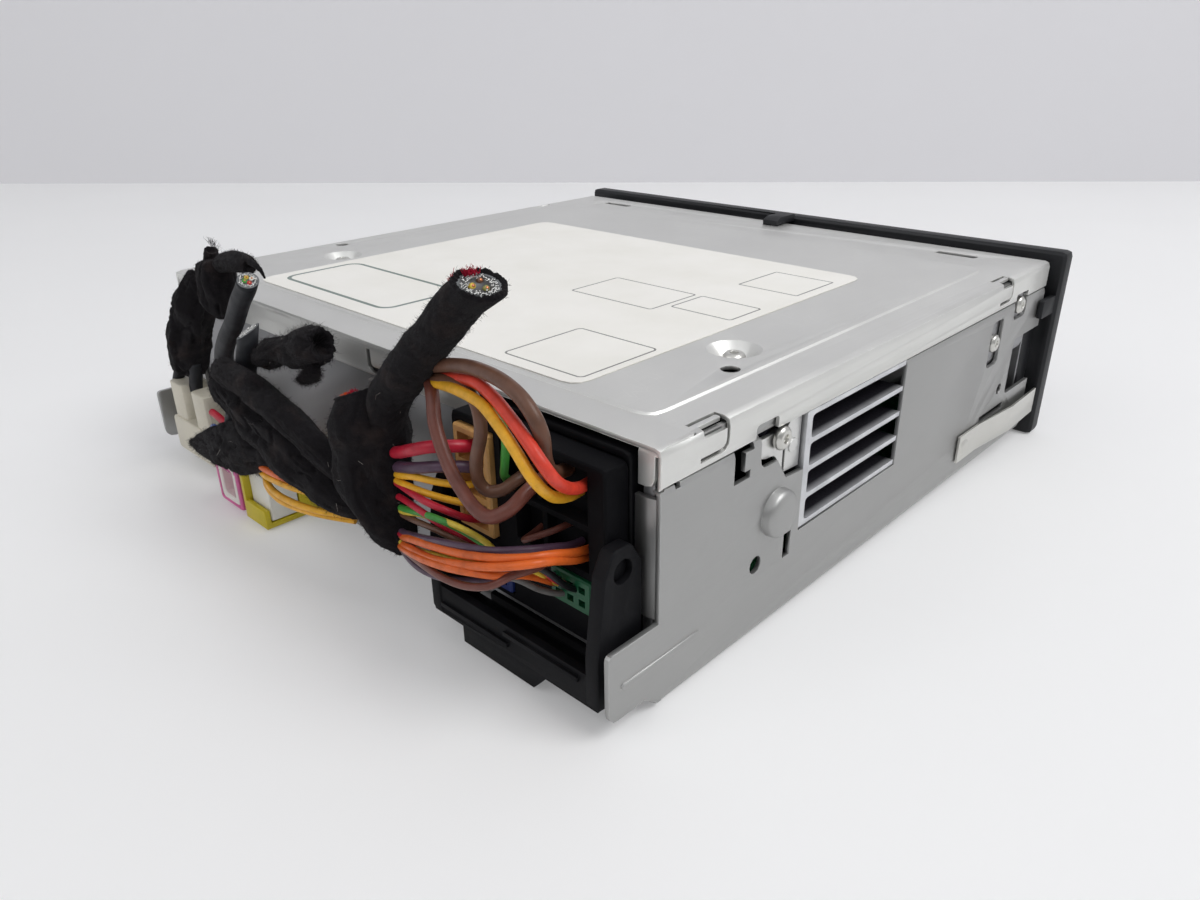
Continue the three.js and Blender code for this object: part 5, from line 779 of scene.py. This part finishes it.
# Wires of the small plugs. Yellow, orange and lemon ones sag from under the tape tail to the cross bundle.
# A red and a blue one stand out of the tape, cut off short.
wire("yellow_data_wire_1", [
    (24.6, 91.5, 15.3), (24, 93.4, 17.4), (19.9, 99, 18.2), (12, 102.6, 19.6), (2.5, 104, 21.4),
    (-6, 103.8, 22.4), (-14, 101, 22.2), (-20, 97.6, 21),
], 1.5, "yellow", "yellow_wires")
wire("yellow_data_wire_2", [
    (23.4, 91.5, 14.3), (23, 93.8, 16), (17.7, 99.6, 16.4), (8, 103, 17.2), (-2.4, 104.4, 18.6),
    (-12, 103.4, 19.4), (-18, 100.8, 19.6), (-22.6, 97.4, 19),
], 1.5, "yellow", "yellow_wires")
wire("orange_data_wire", [
    (23.4, 92, 18.6), (22, 97, 19.6), (15, 101.6, 20.6), (6, 103.8, 22.6), (-4, 104.2, 24),
    (-12, 102.4, 24), (-19, 98, 22.6),
], 1.5, "orange")
wire("yellow_data_wire_3", [
    (24.4, 92, 14), (23.6, 94.6, 15.6), (16, 100.6, 15.6), (6, 103.2, 15.8), (-4, 103.6, 17),
    (-13, 102.2, 18), (-20, 99, 18),
], 1.4, "yellow")
wire("cut_red_wire", [
    (46.9, 97.6, 23.4), (44, 97.7, 23.2), (40.6, 98, 23), (35, 98.6, 22.8), (29, 99.6, 22.4),
    (22, 100.6, 21.6), (15, 101.2, 22),
], 1.9, "crimson")
wire("cut_blue_wire", [
    (48.6, 97.8, 18.6), (46.6, 98.2, 19.8), (44, 98.8, 20.6), (40.4, 99.6, 21), (34, 100.8, 21),
    (26, 101.4, 20.4), (18, 101.8, 21.4),
], 1.3, "blue")


# Twin antenna cables. Screened cables in soft dark grey jackets come up out of the cream connector. They
# were cut, so their ends show coloured cores inside a ring of silver braid.
def frames_along(path):
    """A tangent and two cross directions at each point of a path, with no sudden twist."""
    places = [Vector(p[:3]) for p in path]
    tangents = []
    for i in range(len(places)):
        tangents.append((places[min(i + 1, len(places) - 1)] - places[max(i - 1, 0)]).normalized())
    side = tangents[0].orthogonal().normalized()
    found = []
    for tangent in tangents:
        side = (side - tangent * side.dot(tangent)).normalized()
        found.append((tangent, side, tangent.cross(side)))
    return places, found


def spoke(axes, angle):
    """The direction across a cable at an angle around it."""
    _, side, over = axes
    return side * math.cos(angle) + over * math.sin(angle)


def ring_at(place, axes, radius, sides):
    """A round ring of points."""
    return [place + spoke(axes, math.tau * k / sides) * radius for k in range(sides)]


def to_face(point, tip, along, face, depth=0.0):
    """Slides a point along the cable on to the sloping cut through its tip, or to a depth below it."""
    return point + along * ((tip - point).dot(face) / along.dot(face) - depth)


def trimmed(rings, tip, along, face):
    """Rings that end on a sloping cut through the tip."""
    kept = [ring for ring in rings if all((tip - q).dot(face) / along.dot(face) > 0.0003 for q in ring)]
    return kept + [[to_face(q, tip, along, face) for q in rings[-1]]]


cable_sides = 28
grey_jacket = insulation("grey cable jacket", (34, 35, 39), 0.5, 0.24)
cut_jacket = insulation("cut jacket edge", (112, 114, 116), 0.6)
braid_silver = steel("silver braid", (226, 226, 224), 0.25, clouds=0.3, scuffs=0.2, edge_mark_reach=0.0001)
copper = steel("copper strands", (188, 120, 84), 0.3, edge_mark_reach=0.0001)
green_core = insulation("green core", (78, 150, 62))
red_core = insulation("red core", (196, 58, 58))
white_core = insulation("white core", (222, 220, 210))
yellow_core = insulation("yellow core", (206, 178, 70))
olive_core = insulation("olive core", (150, 148, 84))


def cut_end(name, tip, axes, radius, face, cores, seed, strand_count=90, braid_reach=0.6, core_share=0.22):
    """What shows in a cut end: the jacket's pale edge, ends of braid and coloured cores with their copper."""
    along, side, over = axes
    chance = random.Random(seed)
    lip_steps = (
        (0.985, -0.00002), (0.94, -0.0001), (0.84, -0.0001), (0.8, 0.00002), (0.76, 0.0003), (0.5, 0.0003),
    )
    lip = [
        [to_face(q, tip, along, face, depth) for q in ring_at(tip, axes, radius * share, cable_sides)]
        for share, depth in lip_steps
    ]
    pieces = [skin_over(name + "_cut_edge", [lip], cut_jacket)]
    strands = []
    for k in range(strand_count):
        angle = math.tau * k / strand_count + chance.uniform(-0.05, 0.05)
        foot = tip + spoke(axes, angle) * radius * chance.uniform(braid_reach, 0.78)
        foot = to_face(foot, tip, along, face, 0.00035)
        bend = (along + Vector([chance.uniform(-0.3, 0.3) for _ in range(3)])).normalized()
        top = foot + bend * chance.uniform(0.0004, 0.0009)
        strands.append([ring_at(q, (bend, side, over), 0.00011, 5) for q in (foot, top)])
    pieces.append(skin_over(name + "_braid", strands, braid_silver))
    core_radius = radius * core_share
    copper_radius = radius * 0.09
    for k, (colour, material) in enumerate(cores):
        angle = math.tau * (k + 0.3) / len(cores)
        middle = tip + spoke(axes, angle) * radius * 0.33
        foot = to_face(middle, tip, along, face, 0.0003)
        top = to_face(middle, tip, along, face, -chance.uniform(0.0001, 0.0005))
        core = [ring_at(q, axes, core_radius, 16) for q in (foot, top)]
        core.append(ring_at(top + along * 0.00008, axes, core_radius * 0.8, 16))
        strand = [ring_at(q, axes, copper_radius, 8) for q in (top, top + along * 0.0002)]
        strand.append(ring_at(top + along * 0.00025, axes, radius * 0.06, 8))
        pieces.append(skin_over(f"{name}_core_{colour}", [core], material))
        pieces.append(skin_over(f"{name}_copper_{colour}", [strand], copper))
    return pieces


def cut_cable(name, route, diameter_mm, stands_for, face, cores, seed, **strands):
    """A screened cable with its cut end."""
    places, axes = frames_along(smooth_path(route, 0.0007))
    radius = diameter_mm / 2000
    face = Vector(face).normalized()
    tip, along = places[-1], axes[-1][0]
    rings = trimmed([ring_at(p, a, radius, cable_sides) for p, a in zip(places, axes)], tip, along, face)
    jacket = skin_over(name, [rings], grey_jacket, stands_for)
    cut_end(name, tip, axes[-1], radius, face, cores, seed, **strands)


cut_cable("long_antenna_cable", [
    (50.6, 89.2, 18.4), (50.6, 89.3, 21.2), (50.3, 90.4, 24.4), (48.6, 92.4, 28), (44.9, 93.8, 32.4),
    (41, 94.6, 37.2), (37.2, 95.4, 41.6), (32.2, 96, 46), (26.7, 96.4, 50.4), (19.6, 97.2, 56.8),
    (14.8, 97.6, 60.6), (12, 98, 63),
], 4.4, "antenna_cable_long", (-0.536, 0.243, 0.809), [
    ("green", green_core), ("red", red_core), ("white", white_core), ("yellow", yellow_core),
], 11)
cut_cable("short_antenna_cable", [
    (34, 98.4, 22), (30.6, 98.8, 27), (26.6, 98.8, 32), (23, 98.6, 37), (20.4, 98.4, 41),
    (19.2, 98.3, 44.5), (18.3, 98, 47), (17.3, 98, 49.4), (16.6, 98, 51),
], 4.5, "antenna_cable_short", (0.26, 0.45, 0.8), [], 12, strand_count=160, braid_reach=0.1)

# Taped harness. The branches are wrapped in black fleece tape that is lumpy and creased along its length,
# fuzzy at its edges, has picked up lint, and frays where the harness was cut.
fleece, tree, cloth, place = blank_material("fleece tape")
hairs = mottle(tree, place, 2600.0, 5.0, 0.75, 1.5)
patches = mottle(tree, place, 150.0, 5.0, 0.6)
specks = put(tree, "TexVoronoi", Vector=place, Scale=1100.0).outputs[0]
body = mixed(tree, between(tree, hairs, 0.3, 0.72), (10, 9, 12), (29, 26, 29))
body = mixed(tree, between(tree, patches, 0.54, 0.72, 0.0, 0.55), body, (54, 45, 43))
lint = times(tree, between(tree, specks, 0.02, 0.05, 0.4, 0.0), between(tree, patches, 0.5, 0.62))
finished(tree, cloth, hairs, 1.0, 0.00016, Specular_IOR_Level=0.12, Sheen_Weight=0.05, Sheen_Roughness=0.5,
         Base_Color=mixed(tree, lint, body, (150, 142, 138)),
         Roughness=between(tree, patches, 0.3, 0.7, 0.88, 0.98))
loose_hair = insulation("loose fleece hair", (40, 36, 38), 0.85, 0.1)
pale_lint = insulation("pale lint", (176, 170, 164), 0.8, 0.2)
red_thread = insulation("red fray", (168, 24, 52), 0.8, 0.2)
orange_thread = insulation("orange fray", (224, 92, 40), 0.8, 0.2)
tape_step = 0.0006


def taped_rings(route, seed, wide_way, flat=(1.0, 1.0), lump=0.0005, fold=0.0006, lap_pitch=0.024, sides=80):
    """The rings of one taped stretch: lumps of the wires inside, ridges, creases, crumples and tape laps."""
    path = smooth_path(route, tape_step)
    places, axes = frames_along(path)
    rings, run = [], 0.0
    shift = Vector((seed * 3.1, seed * 1.7, seed * 0.9))
    lap_height, lap_edge = 0.00022, 0.03
    for i, (place, (along, _, _), point) in enumerate(zip(places, axes, path)):
        run += (place - places[i - 1]).length if i else 0.0
        wide = Vector(wide_way)
        wide = (wide - along * wide.dot(along)).normalized()
        thick = along.cross(wide)
        size = point[3] / 0.006
        ring = []
        for k in range(sides):
            angle = math.tau * k / sides
            around = Vector((math.cos(angle), math.sin(angle), 0))
            out = wide * around.x * flat[0] + thick * around.y * flat[1]
            surface = place + out * point[3]
            bulge = lump * size * 1.5 * noise.noise(surface * 120 + shift)
            ridge = abs(noise.noise(around * 1.3 + Vector((0, 0, run * 80)) + shift * 2))
            bulge += fold * size * 1.8 * (0.22 - ridge)
            crease = abs(noise.noise(around * 1.9 + Vector((0, 0, run * 110)) + shift * 3))
            bulge -= fold * size * 0.8 * max(0.0, 1 - crease / 0.06)
            crumple = 0.00016 * noise.noise(surface * 1300 + shift)
            bulge += crumple + 0.00022 * size * noise.noise(surface * 480 + shift)
            lap = (run / lap_pitch + angle / math.tau + 0.15 * noise.noise(surface * 190 + shift)) % 1.0
            bulge += lap_height * (1 - lap) if lap > lap_edge else lap_height * lap / lap_edge
            ring.append(surface + out.normalized() * bulge)
        rings.append(ring)
    return rings


def any_way(chance):
    """A random direction and length."""
    return Vector([chance.gauss(0, 1) for _ in range(3)])


def hair_at(root, way, size, thickness, chance):
    """The rings of one curled hair."""
    curl = any_way(chance) * size * 0.25
    side = way.orthogonal().normalized()
    over = way.cross(side)
    start = root - way * size * 0.1
    stops = (start, start + way * size * 0.5 + curl, start + way * size + curl * 0.4)
    return [ring_at(q, (way, side, over), thickness * share, 3) for q, share in zip(stops, (1.0, 0.8, 0.3))]


def fuzz(name, ring_sets, count, length, thickness, seed, material):
    """Short hairs that stand off the tape, as one mesh."""
    chance = random.Random(seed)
    hairs = []
    for _ in range(count):
        ring = chance.choice(chance.choice(ring_sets))
        root = chance.choice(ring)
        out = (root - sum(ring, Vector()) / len(ring)).normalized()
        way = (out * chance.uniform(0.1, 1.0) + any_way(chance) * 0.6).normalized()
        hairs.append(hair_at(root, way, chance.uniform(*length), thickness, chance))
    skin_over(name, hairs, material, smooth=False)


def fray(name, line, out, count, length, thickness, seed, material):
    """Threads that stick out along a torn edge, as one mesh."""
    chance = random.Random(seed)
    points = [in_frame(p) for p in line]
    threads = []
    for _ in range(count):
        share = chance.random() * (len(points) - 1)
        i = min(int(share), len(points) - 2)
        root = points[i].lerp(points[i + 1], share - i) + any_way(chance) * 0.0003
        way = (Vector(out) + any_way(chance) * 0.45).normalized()
        threads.append(hair_at(root, way, chance.uniform(*length), thickness, chance))
    skin_over(name, threads, material, smooth=False)


def capped(rings, depth, seed, steps):
    """Adds shrinking rings past the last one."""
    along = (sum(rings[-1], Vector()) - sum(rings[-3], Vector())).normalized()
    middle = sum(rings[-1], Vector()) / len(rings[-1])
    chance = random.Random(seed)
    more = []
    for scale, push in steps:
        ring = []
        for q in rings[-1]:
            drawn = middle + (q - middle) * scale * chance.uniform(0.94, 1.06)
            ring.append(drawn + along * depth * push * chance.uniform(0.75, 1.25))
        more.append(ring)
    return rings + more


def closed_end(rings, depth, seed):
    """Closes the last ring with a crumpled, drawn-in cap."""
    return capped(rings, depth, seed, ((0.96, 0.35), (0.82, 0.75), (0.6, 1.0), (0.3, 1.05), (0.06, 1.0)))


def open_end(rings, depth, seed, hole):
    """Ends the last ring in a ragged open mouth with a hollow in it."""
    mouth = ((1.0, 0.5), (0.93, 0.75), (hole, 0.3), (hole * 0.8, -1.6), (hole * 0.3, -3.4))
    return capped(rings, depth, seed, mouth)


def at_start(finish, rings, *values):
    """Finishes the first ring the way another function finishes the last one."""
    return finish(rings[::-1], *values)[::-1]


def closed_bundle(route, seed, wide_way, first_end, last_end, **shape):
    """A taped stretch with both ends closed, each by its depth and its own seed."""
    rings = taped_rings(route, seed, wide_way, **shape)
    return closed_end(at_start(closed_end, rings, *first_end), *last_end)


# Main branch. A thick sleeve of fleece holds the wires of the big plug together. A screened cable runs on up
# out of it as the arm, cut off square, and its sleeve's mouth shows red and orange fray.
picture_right = tuple(right)
arm_route = [
    (-32.6, 96, 17.6, 1.6), (-31.4, 96, 21.4, 3.0), (-30.2, 96, 28.7, 3.8), (-29.8, 96, 35.4, 4.0),
    (-30.6, 95.8, 41.5, 4.1), (-34.4, 95.2, 49.6, 4.1), (-42.3, 95, 57.6, 3.9), (-48.6, 95, 63.1, 3.8),
    (-54.5, 95, 68.7, 3.7), (-58.4, 95, 71.6, 3.6), (-61.4, 95, 73.5, 3.6),
]
arm = taped_rings(arm_route, 1.0, picture_right, flat=(1.0, 0.95), fold=0.0003, lap_pitch=0.03)
arm_places, arm_axes = frames_along(smooth_path(arm_route, tape_step))
arm_face = Vector((-0.33, 0.26, 0.906)).normalized()
arm_tip, arm_along = arm_places[-1], arm_axes[-1][0]
arm = trimmed(arm, arm_tip, arm_along, arm_face)
rim_middle = sum(arm[-1], Vector()) / len(arm[-1])
rim_chance = random.Random(31)
for share, depth in ((1.0, -0.0003), (0.97, -0.0005), (0.9, -0.0002), (0.84, 0.0006)):
    rim = [(rim_middle + (q - rim_middle) * share, rim_chance.uniform(-0.00012, 0.00018)) for q in arm[-1]]
    arm.append([q + arm_face * (-depth + lift) for q, lift in rim])
arm = at_start(closed_end, arm, 0.0006, 3)
collar = closed_end(taped_rings([
    (-26.4, 97.2, 47.6, 3.9), (-27.4, 97.3, 45.2, 5.0), (-28, 97.4, 41.4, 5.9), (-27.4, 97.5, 36, 6.0),
    (-27, 97.5, 30.5, 5.7), (-28.8, 97.3, 24.8, 5.0), (-32, 97, 19.8, 3.6), (-34.6, 96.8, 17, 2.0),
], 2.0, picture_right, flat=(1.28, 0.86), lump=0.0007, fold=0.0008, lap_pitch=0.03), 0.001, 41)
collar = at_start(open_end, collar, 0.0006, 4, 0.72)
skin_over("branch_tape", [collar], fleece, "taped_main_branch")
arm_piece = skin_over("branch_arm", [arm], fleece, "taped_main_branch")
fuzz("branch_fuzz", [arm, collar], 7800, (0.0003, 0.001), 0.000026, 21, loose_hair)
fuzz("branch_lint", [arm, collar], 26, (0.0006, 0.002), 0.000026, 22, pale_lint)
cable_tip = arm_tip + arm_face * 0.00035
cable_radius = 0.0031
cable = trimmed([
    ring_at(cable_tip - arm_along * back, arm_axes[-1], cable_radius, cable_sides)
    for back in (0.006, 0.004, 0.0)
], cable_tip, arm_along, arm_face)
cable = skin_over("branch_cable", [cable], grey_jacket)
cable_end = cut_end("branch_cable", cable_tip, arm_axes[-1], cable_radius, arm_face,
                    [("yellow", yellow_core), ("olive", olive_core), ("brown", pvc["brown"][0])], 32,
                    strand_count=190, braid_reach=0.5, core_share=0.17)
fray("branch_red_fray", [(-54, 95.3, 72.6), (-56, 95.4, 74.1), (-58.6, 95.2, 75.2), (-60.8, 94.6, 75.8)],
     (0.2, 0.2, 0.9), 260, (0.0003, 0.0011), 0.00007, 33, red_thread)
fray("sleeve_orange_fray", [(-21.6, 98.6, 45.4), (-23.4, 99, 46.4), (-25.8, 99.2, 47.6)],
     (0.2, 0.4, 0.9), 190, (0.0003, 0.001), 0.00007, 34, orange_thread)
fray("sleeve_red_fray", [(-25.4, 99.2, 47.5), (-27.6, 99, 48.4)],
     (0.1, 0.4, 0.9), 90, (0.0003, 0.001), 0.00007, 35, red_thread)

# Cross bundle and its tape tail. A flatter bundle crosses from the antenna side to the main branch, with its
# tape rolled over along the top, and a loose tail of tape points back to the antenna connector.
upright = (0, 0, 1)
roll = closed_bundle([
    (25.6, 101.2, 40.6, 3.0), (22, 101.5, 40.9, 3.2), (15, 101.9, 40.8, 3.2), (6, 102.1, 39.8, 3.1),
    (-3, 102, 37.6, 3.1), (-11, 101.4, 34.2, 3.0), (-18.4, 100.2, 30.8, 2.7), (-21.4, 99.2, 28.4, 2.0),
], 3.0, upright, (0.001, 5), (0.001, 51), fold=0.0007)
cross = closed_bundle([
    (26.6, 100.8, 37.8, 3.8), (23.6, 100.9, 36.4, 4.8), (16.4, 101, 33.8, 5.4), (6.5, 101.2, 31, 5.8),
    (-4.1, 101.2, 28.4, 5.6), (-13.2, 100.6, 25.6, 5.0), (-19.4, 99.4, 23.2, 3.9), (-23, 98, 21.6, 2.6),
], 3.6, upright, (0.0012, 6), (0.0012, 61), flat=(1.0, 0.85), lump=0.0009, fold=0.0011)
tail = closed_bundle([
    (52.9, 102, 14.6, 0.7), (50, 102, 15, 1.5), (46.8, 102, 15.8, 2.5), (39.4, 102.3, 17.8, 3.8),
    (31.1, 102.4, 20, 5.2), (22.5, 102.2, 22, 5.8), (14.5, 101.8, 23.8, 5.2), (7, 101.4, 26, 3.8),
], 4.0, upright, (0.0006, 7), (0.001, 71), flat=(1.1, 0.5), lump=0.0007, fold=0.0011)
skin_over("cross_tape", [roll, cross, tail], fleece, "taped_cross_bundle")
fuzz("cross_fuzz", [roll, cross, tail], 9000, (0.0003, 0.0012), 0.000028, 23, loose_hair)
fuzz("cross_lint", [roll, cross, tail], 34, (0.0006, 0.002), 0.000026, 24, pale_lint)
fray("cross_rag", [(8.2, 102.6, 43.4), (3.1, 103, 43.2)],
     (0.1, 0.3, 1), 120, (0.0005, 0.002), 0.00006, 36, loose_hair)

# Loop. The antenna side's other branch is doubled back on itself under the tape: a bundle stands on the cream
# connector, and a wider one leans on it, with a small rolled end, a tube of tape and two grey cable stubs.
standing = closed_bundle([
    (71, 92, 27.8, 3.8), (70.4, 92, 29.6, 4.6), (69, 92, 33, 5.0), (66, 92, 38, 5.1), (62.6, 92, 43, 5.0),
    (59.8, 92, 48, 4.4), (57, 92, 52.4, 3.6), (54.4, 92, 55.6, 2.6),
], 5.0, picture_right, (0.0008, 8), (0.001, 81), flat=(1.0, 0.8), lump=0.0009, fold=0.0011)
leaning = closed_bundle([
    (41.6, 92.6, 48.8, 2), (41.2, 92.8, 50.4, 3.6), (40.6, 93, 52.8, 4.4), (39.6, 93, 56.4, 4.7),
    (39.2, 93, 59.6, 4.6), (39.4, 93, 61.6, 4.1),
], 6.0, picture_right, (0.0008, 9), (0.0008, 91), flat=(1.0, 0.75), lump=0.0009, fold=0.0011)
tube = open_end(taped_rings([
    (44.4, 92.4, 56, 1.3), (43.7, 92.2, 59.4, 1.6), (42.9, 92, 62, 1.6), (42, 92, 64, 1.5),
], 7.0, picture_right, lump=0.0002, fold=0.0002, sides=32), 0.0002, 10, 0.7)
curl = open_end(taped_rings([
    (36.6, 92.6, 61.4, 1.8), (32.6, 92.8, 62.8, 2.1), (26.4, 93.2, 63.9, 2.2), (21.6, 93.5, 64.2, 2.0),
    (19.6, 93.6, 64.2, 1.7),
], 8.0, upright, lump=0.0004, sides=48), 0.0003, 11, 0.62)
wisp = taped_rings([
    (21, 93.9, 65.4, 0.9), (17.6, 94, 65.2, 0.7), (14.2, 94, 64.2, 0.5), (12.6, 94, 62.6, 0.2),
], 9.0, upright, flat=(1.0, 0.5), lump=0.0001, fold=0.0002, sides=20)
skin_over("loop_tape", [standing, leaning, tube, curl, wisp], fleece, "taped_loop")
fuzz("loop_fuzz", [standing, leaning, curl], 5200, (0.0002, 0.0009), 0.000024, 25, loose_hair)
fray("loop_tuft", [(42, 92, 66.4), (38.6, 92, 64.8)],
     (-0.3, 0.1, 1), 60, (0.0006, 0.0018), 0.00004, 37, loose_hair)
for name, route in (
    ("outer_grey_stub", [
        (79.4, 93, 20.6, 1.5), (78, 93, 23.4, 1.5), (76.2, 92.6, 26.6, 1.5), (74, 92.2, 30, 1.5),
    ]),
    ("inner_grey_stub", [
        (70.7, 91.8, 20.8, 1.75), (69, 91.9, 24, 1.75), (67.4, 92, 27.2, 1.75), (66, 92, 31, 1.75),
    ]),
):
    path = smooth_path(route, 0.0008)
    places, axes = frames_along(path)
    rings = [ring_at(p, a, point[3], 20) for p, a, point in zip(places, axes, path)]
    skin_over(name, [rings], grey_jacket)

# Stub. A short branch that was cut near the bundle, with its fleece torn open at the end and a flap of it
# hanging down.
stub = taped_rings([
    (15.8, 96.5, 44.8, 2.3), (12.4, 96.3, 46, 2.7), (6.6, 96, 48.2, 3.1), (0.8, 96, 50, 3.4),
    (-4.6, 96, 51.6, 3.6), (-8.8, 96, 52.9, 3.7), (-11.6, 96, 53.9, 3.4),
], 10.0, upright, flat=(1.0, 0.9), lump=0.0013, fold=0.0014)
stub = at_start(closed_end, open_end(stub, 0.0008, 13, 0.74), 0.0006, 14)
flap = closed_end(taped_rings([
    (-8.6, 97, 51.4, 1.9), (-9.4, 97.8, 49.8, 1.6), (-9.6, 98, 48, 1.5), (-7.8, 98.2, 46.2, 1.5),
    (-5.4, 98, 45.2, 0.9),
], 11.0, picture_right, flat=(1.0, 0.45), lump=0.0006, sides=40), 0.0004, 15)
skin_over("stub_tape", [stub, flap], fleece, "taped_stub")
fuzz("stub_fuzz", [stub, flap], 4600, (0.0004, 0.0016), 0.00003, 26, loose_hair)
fuzz("stub_lint", [stub], 16, (0.0006, 0.002), 0.000026, 27, pale_lint)
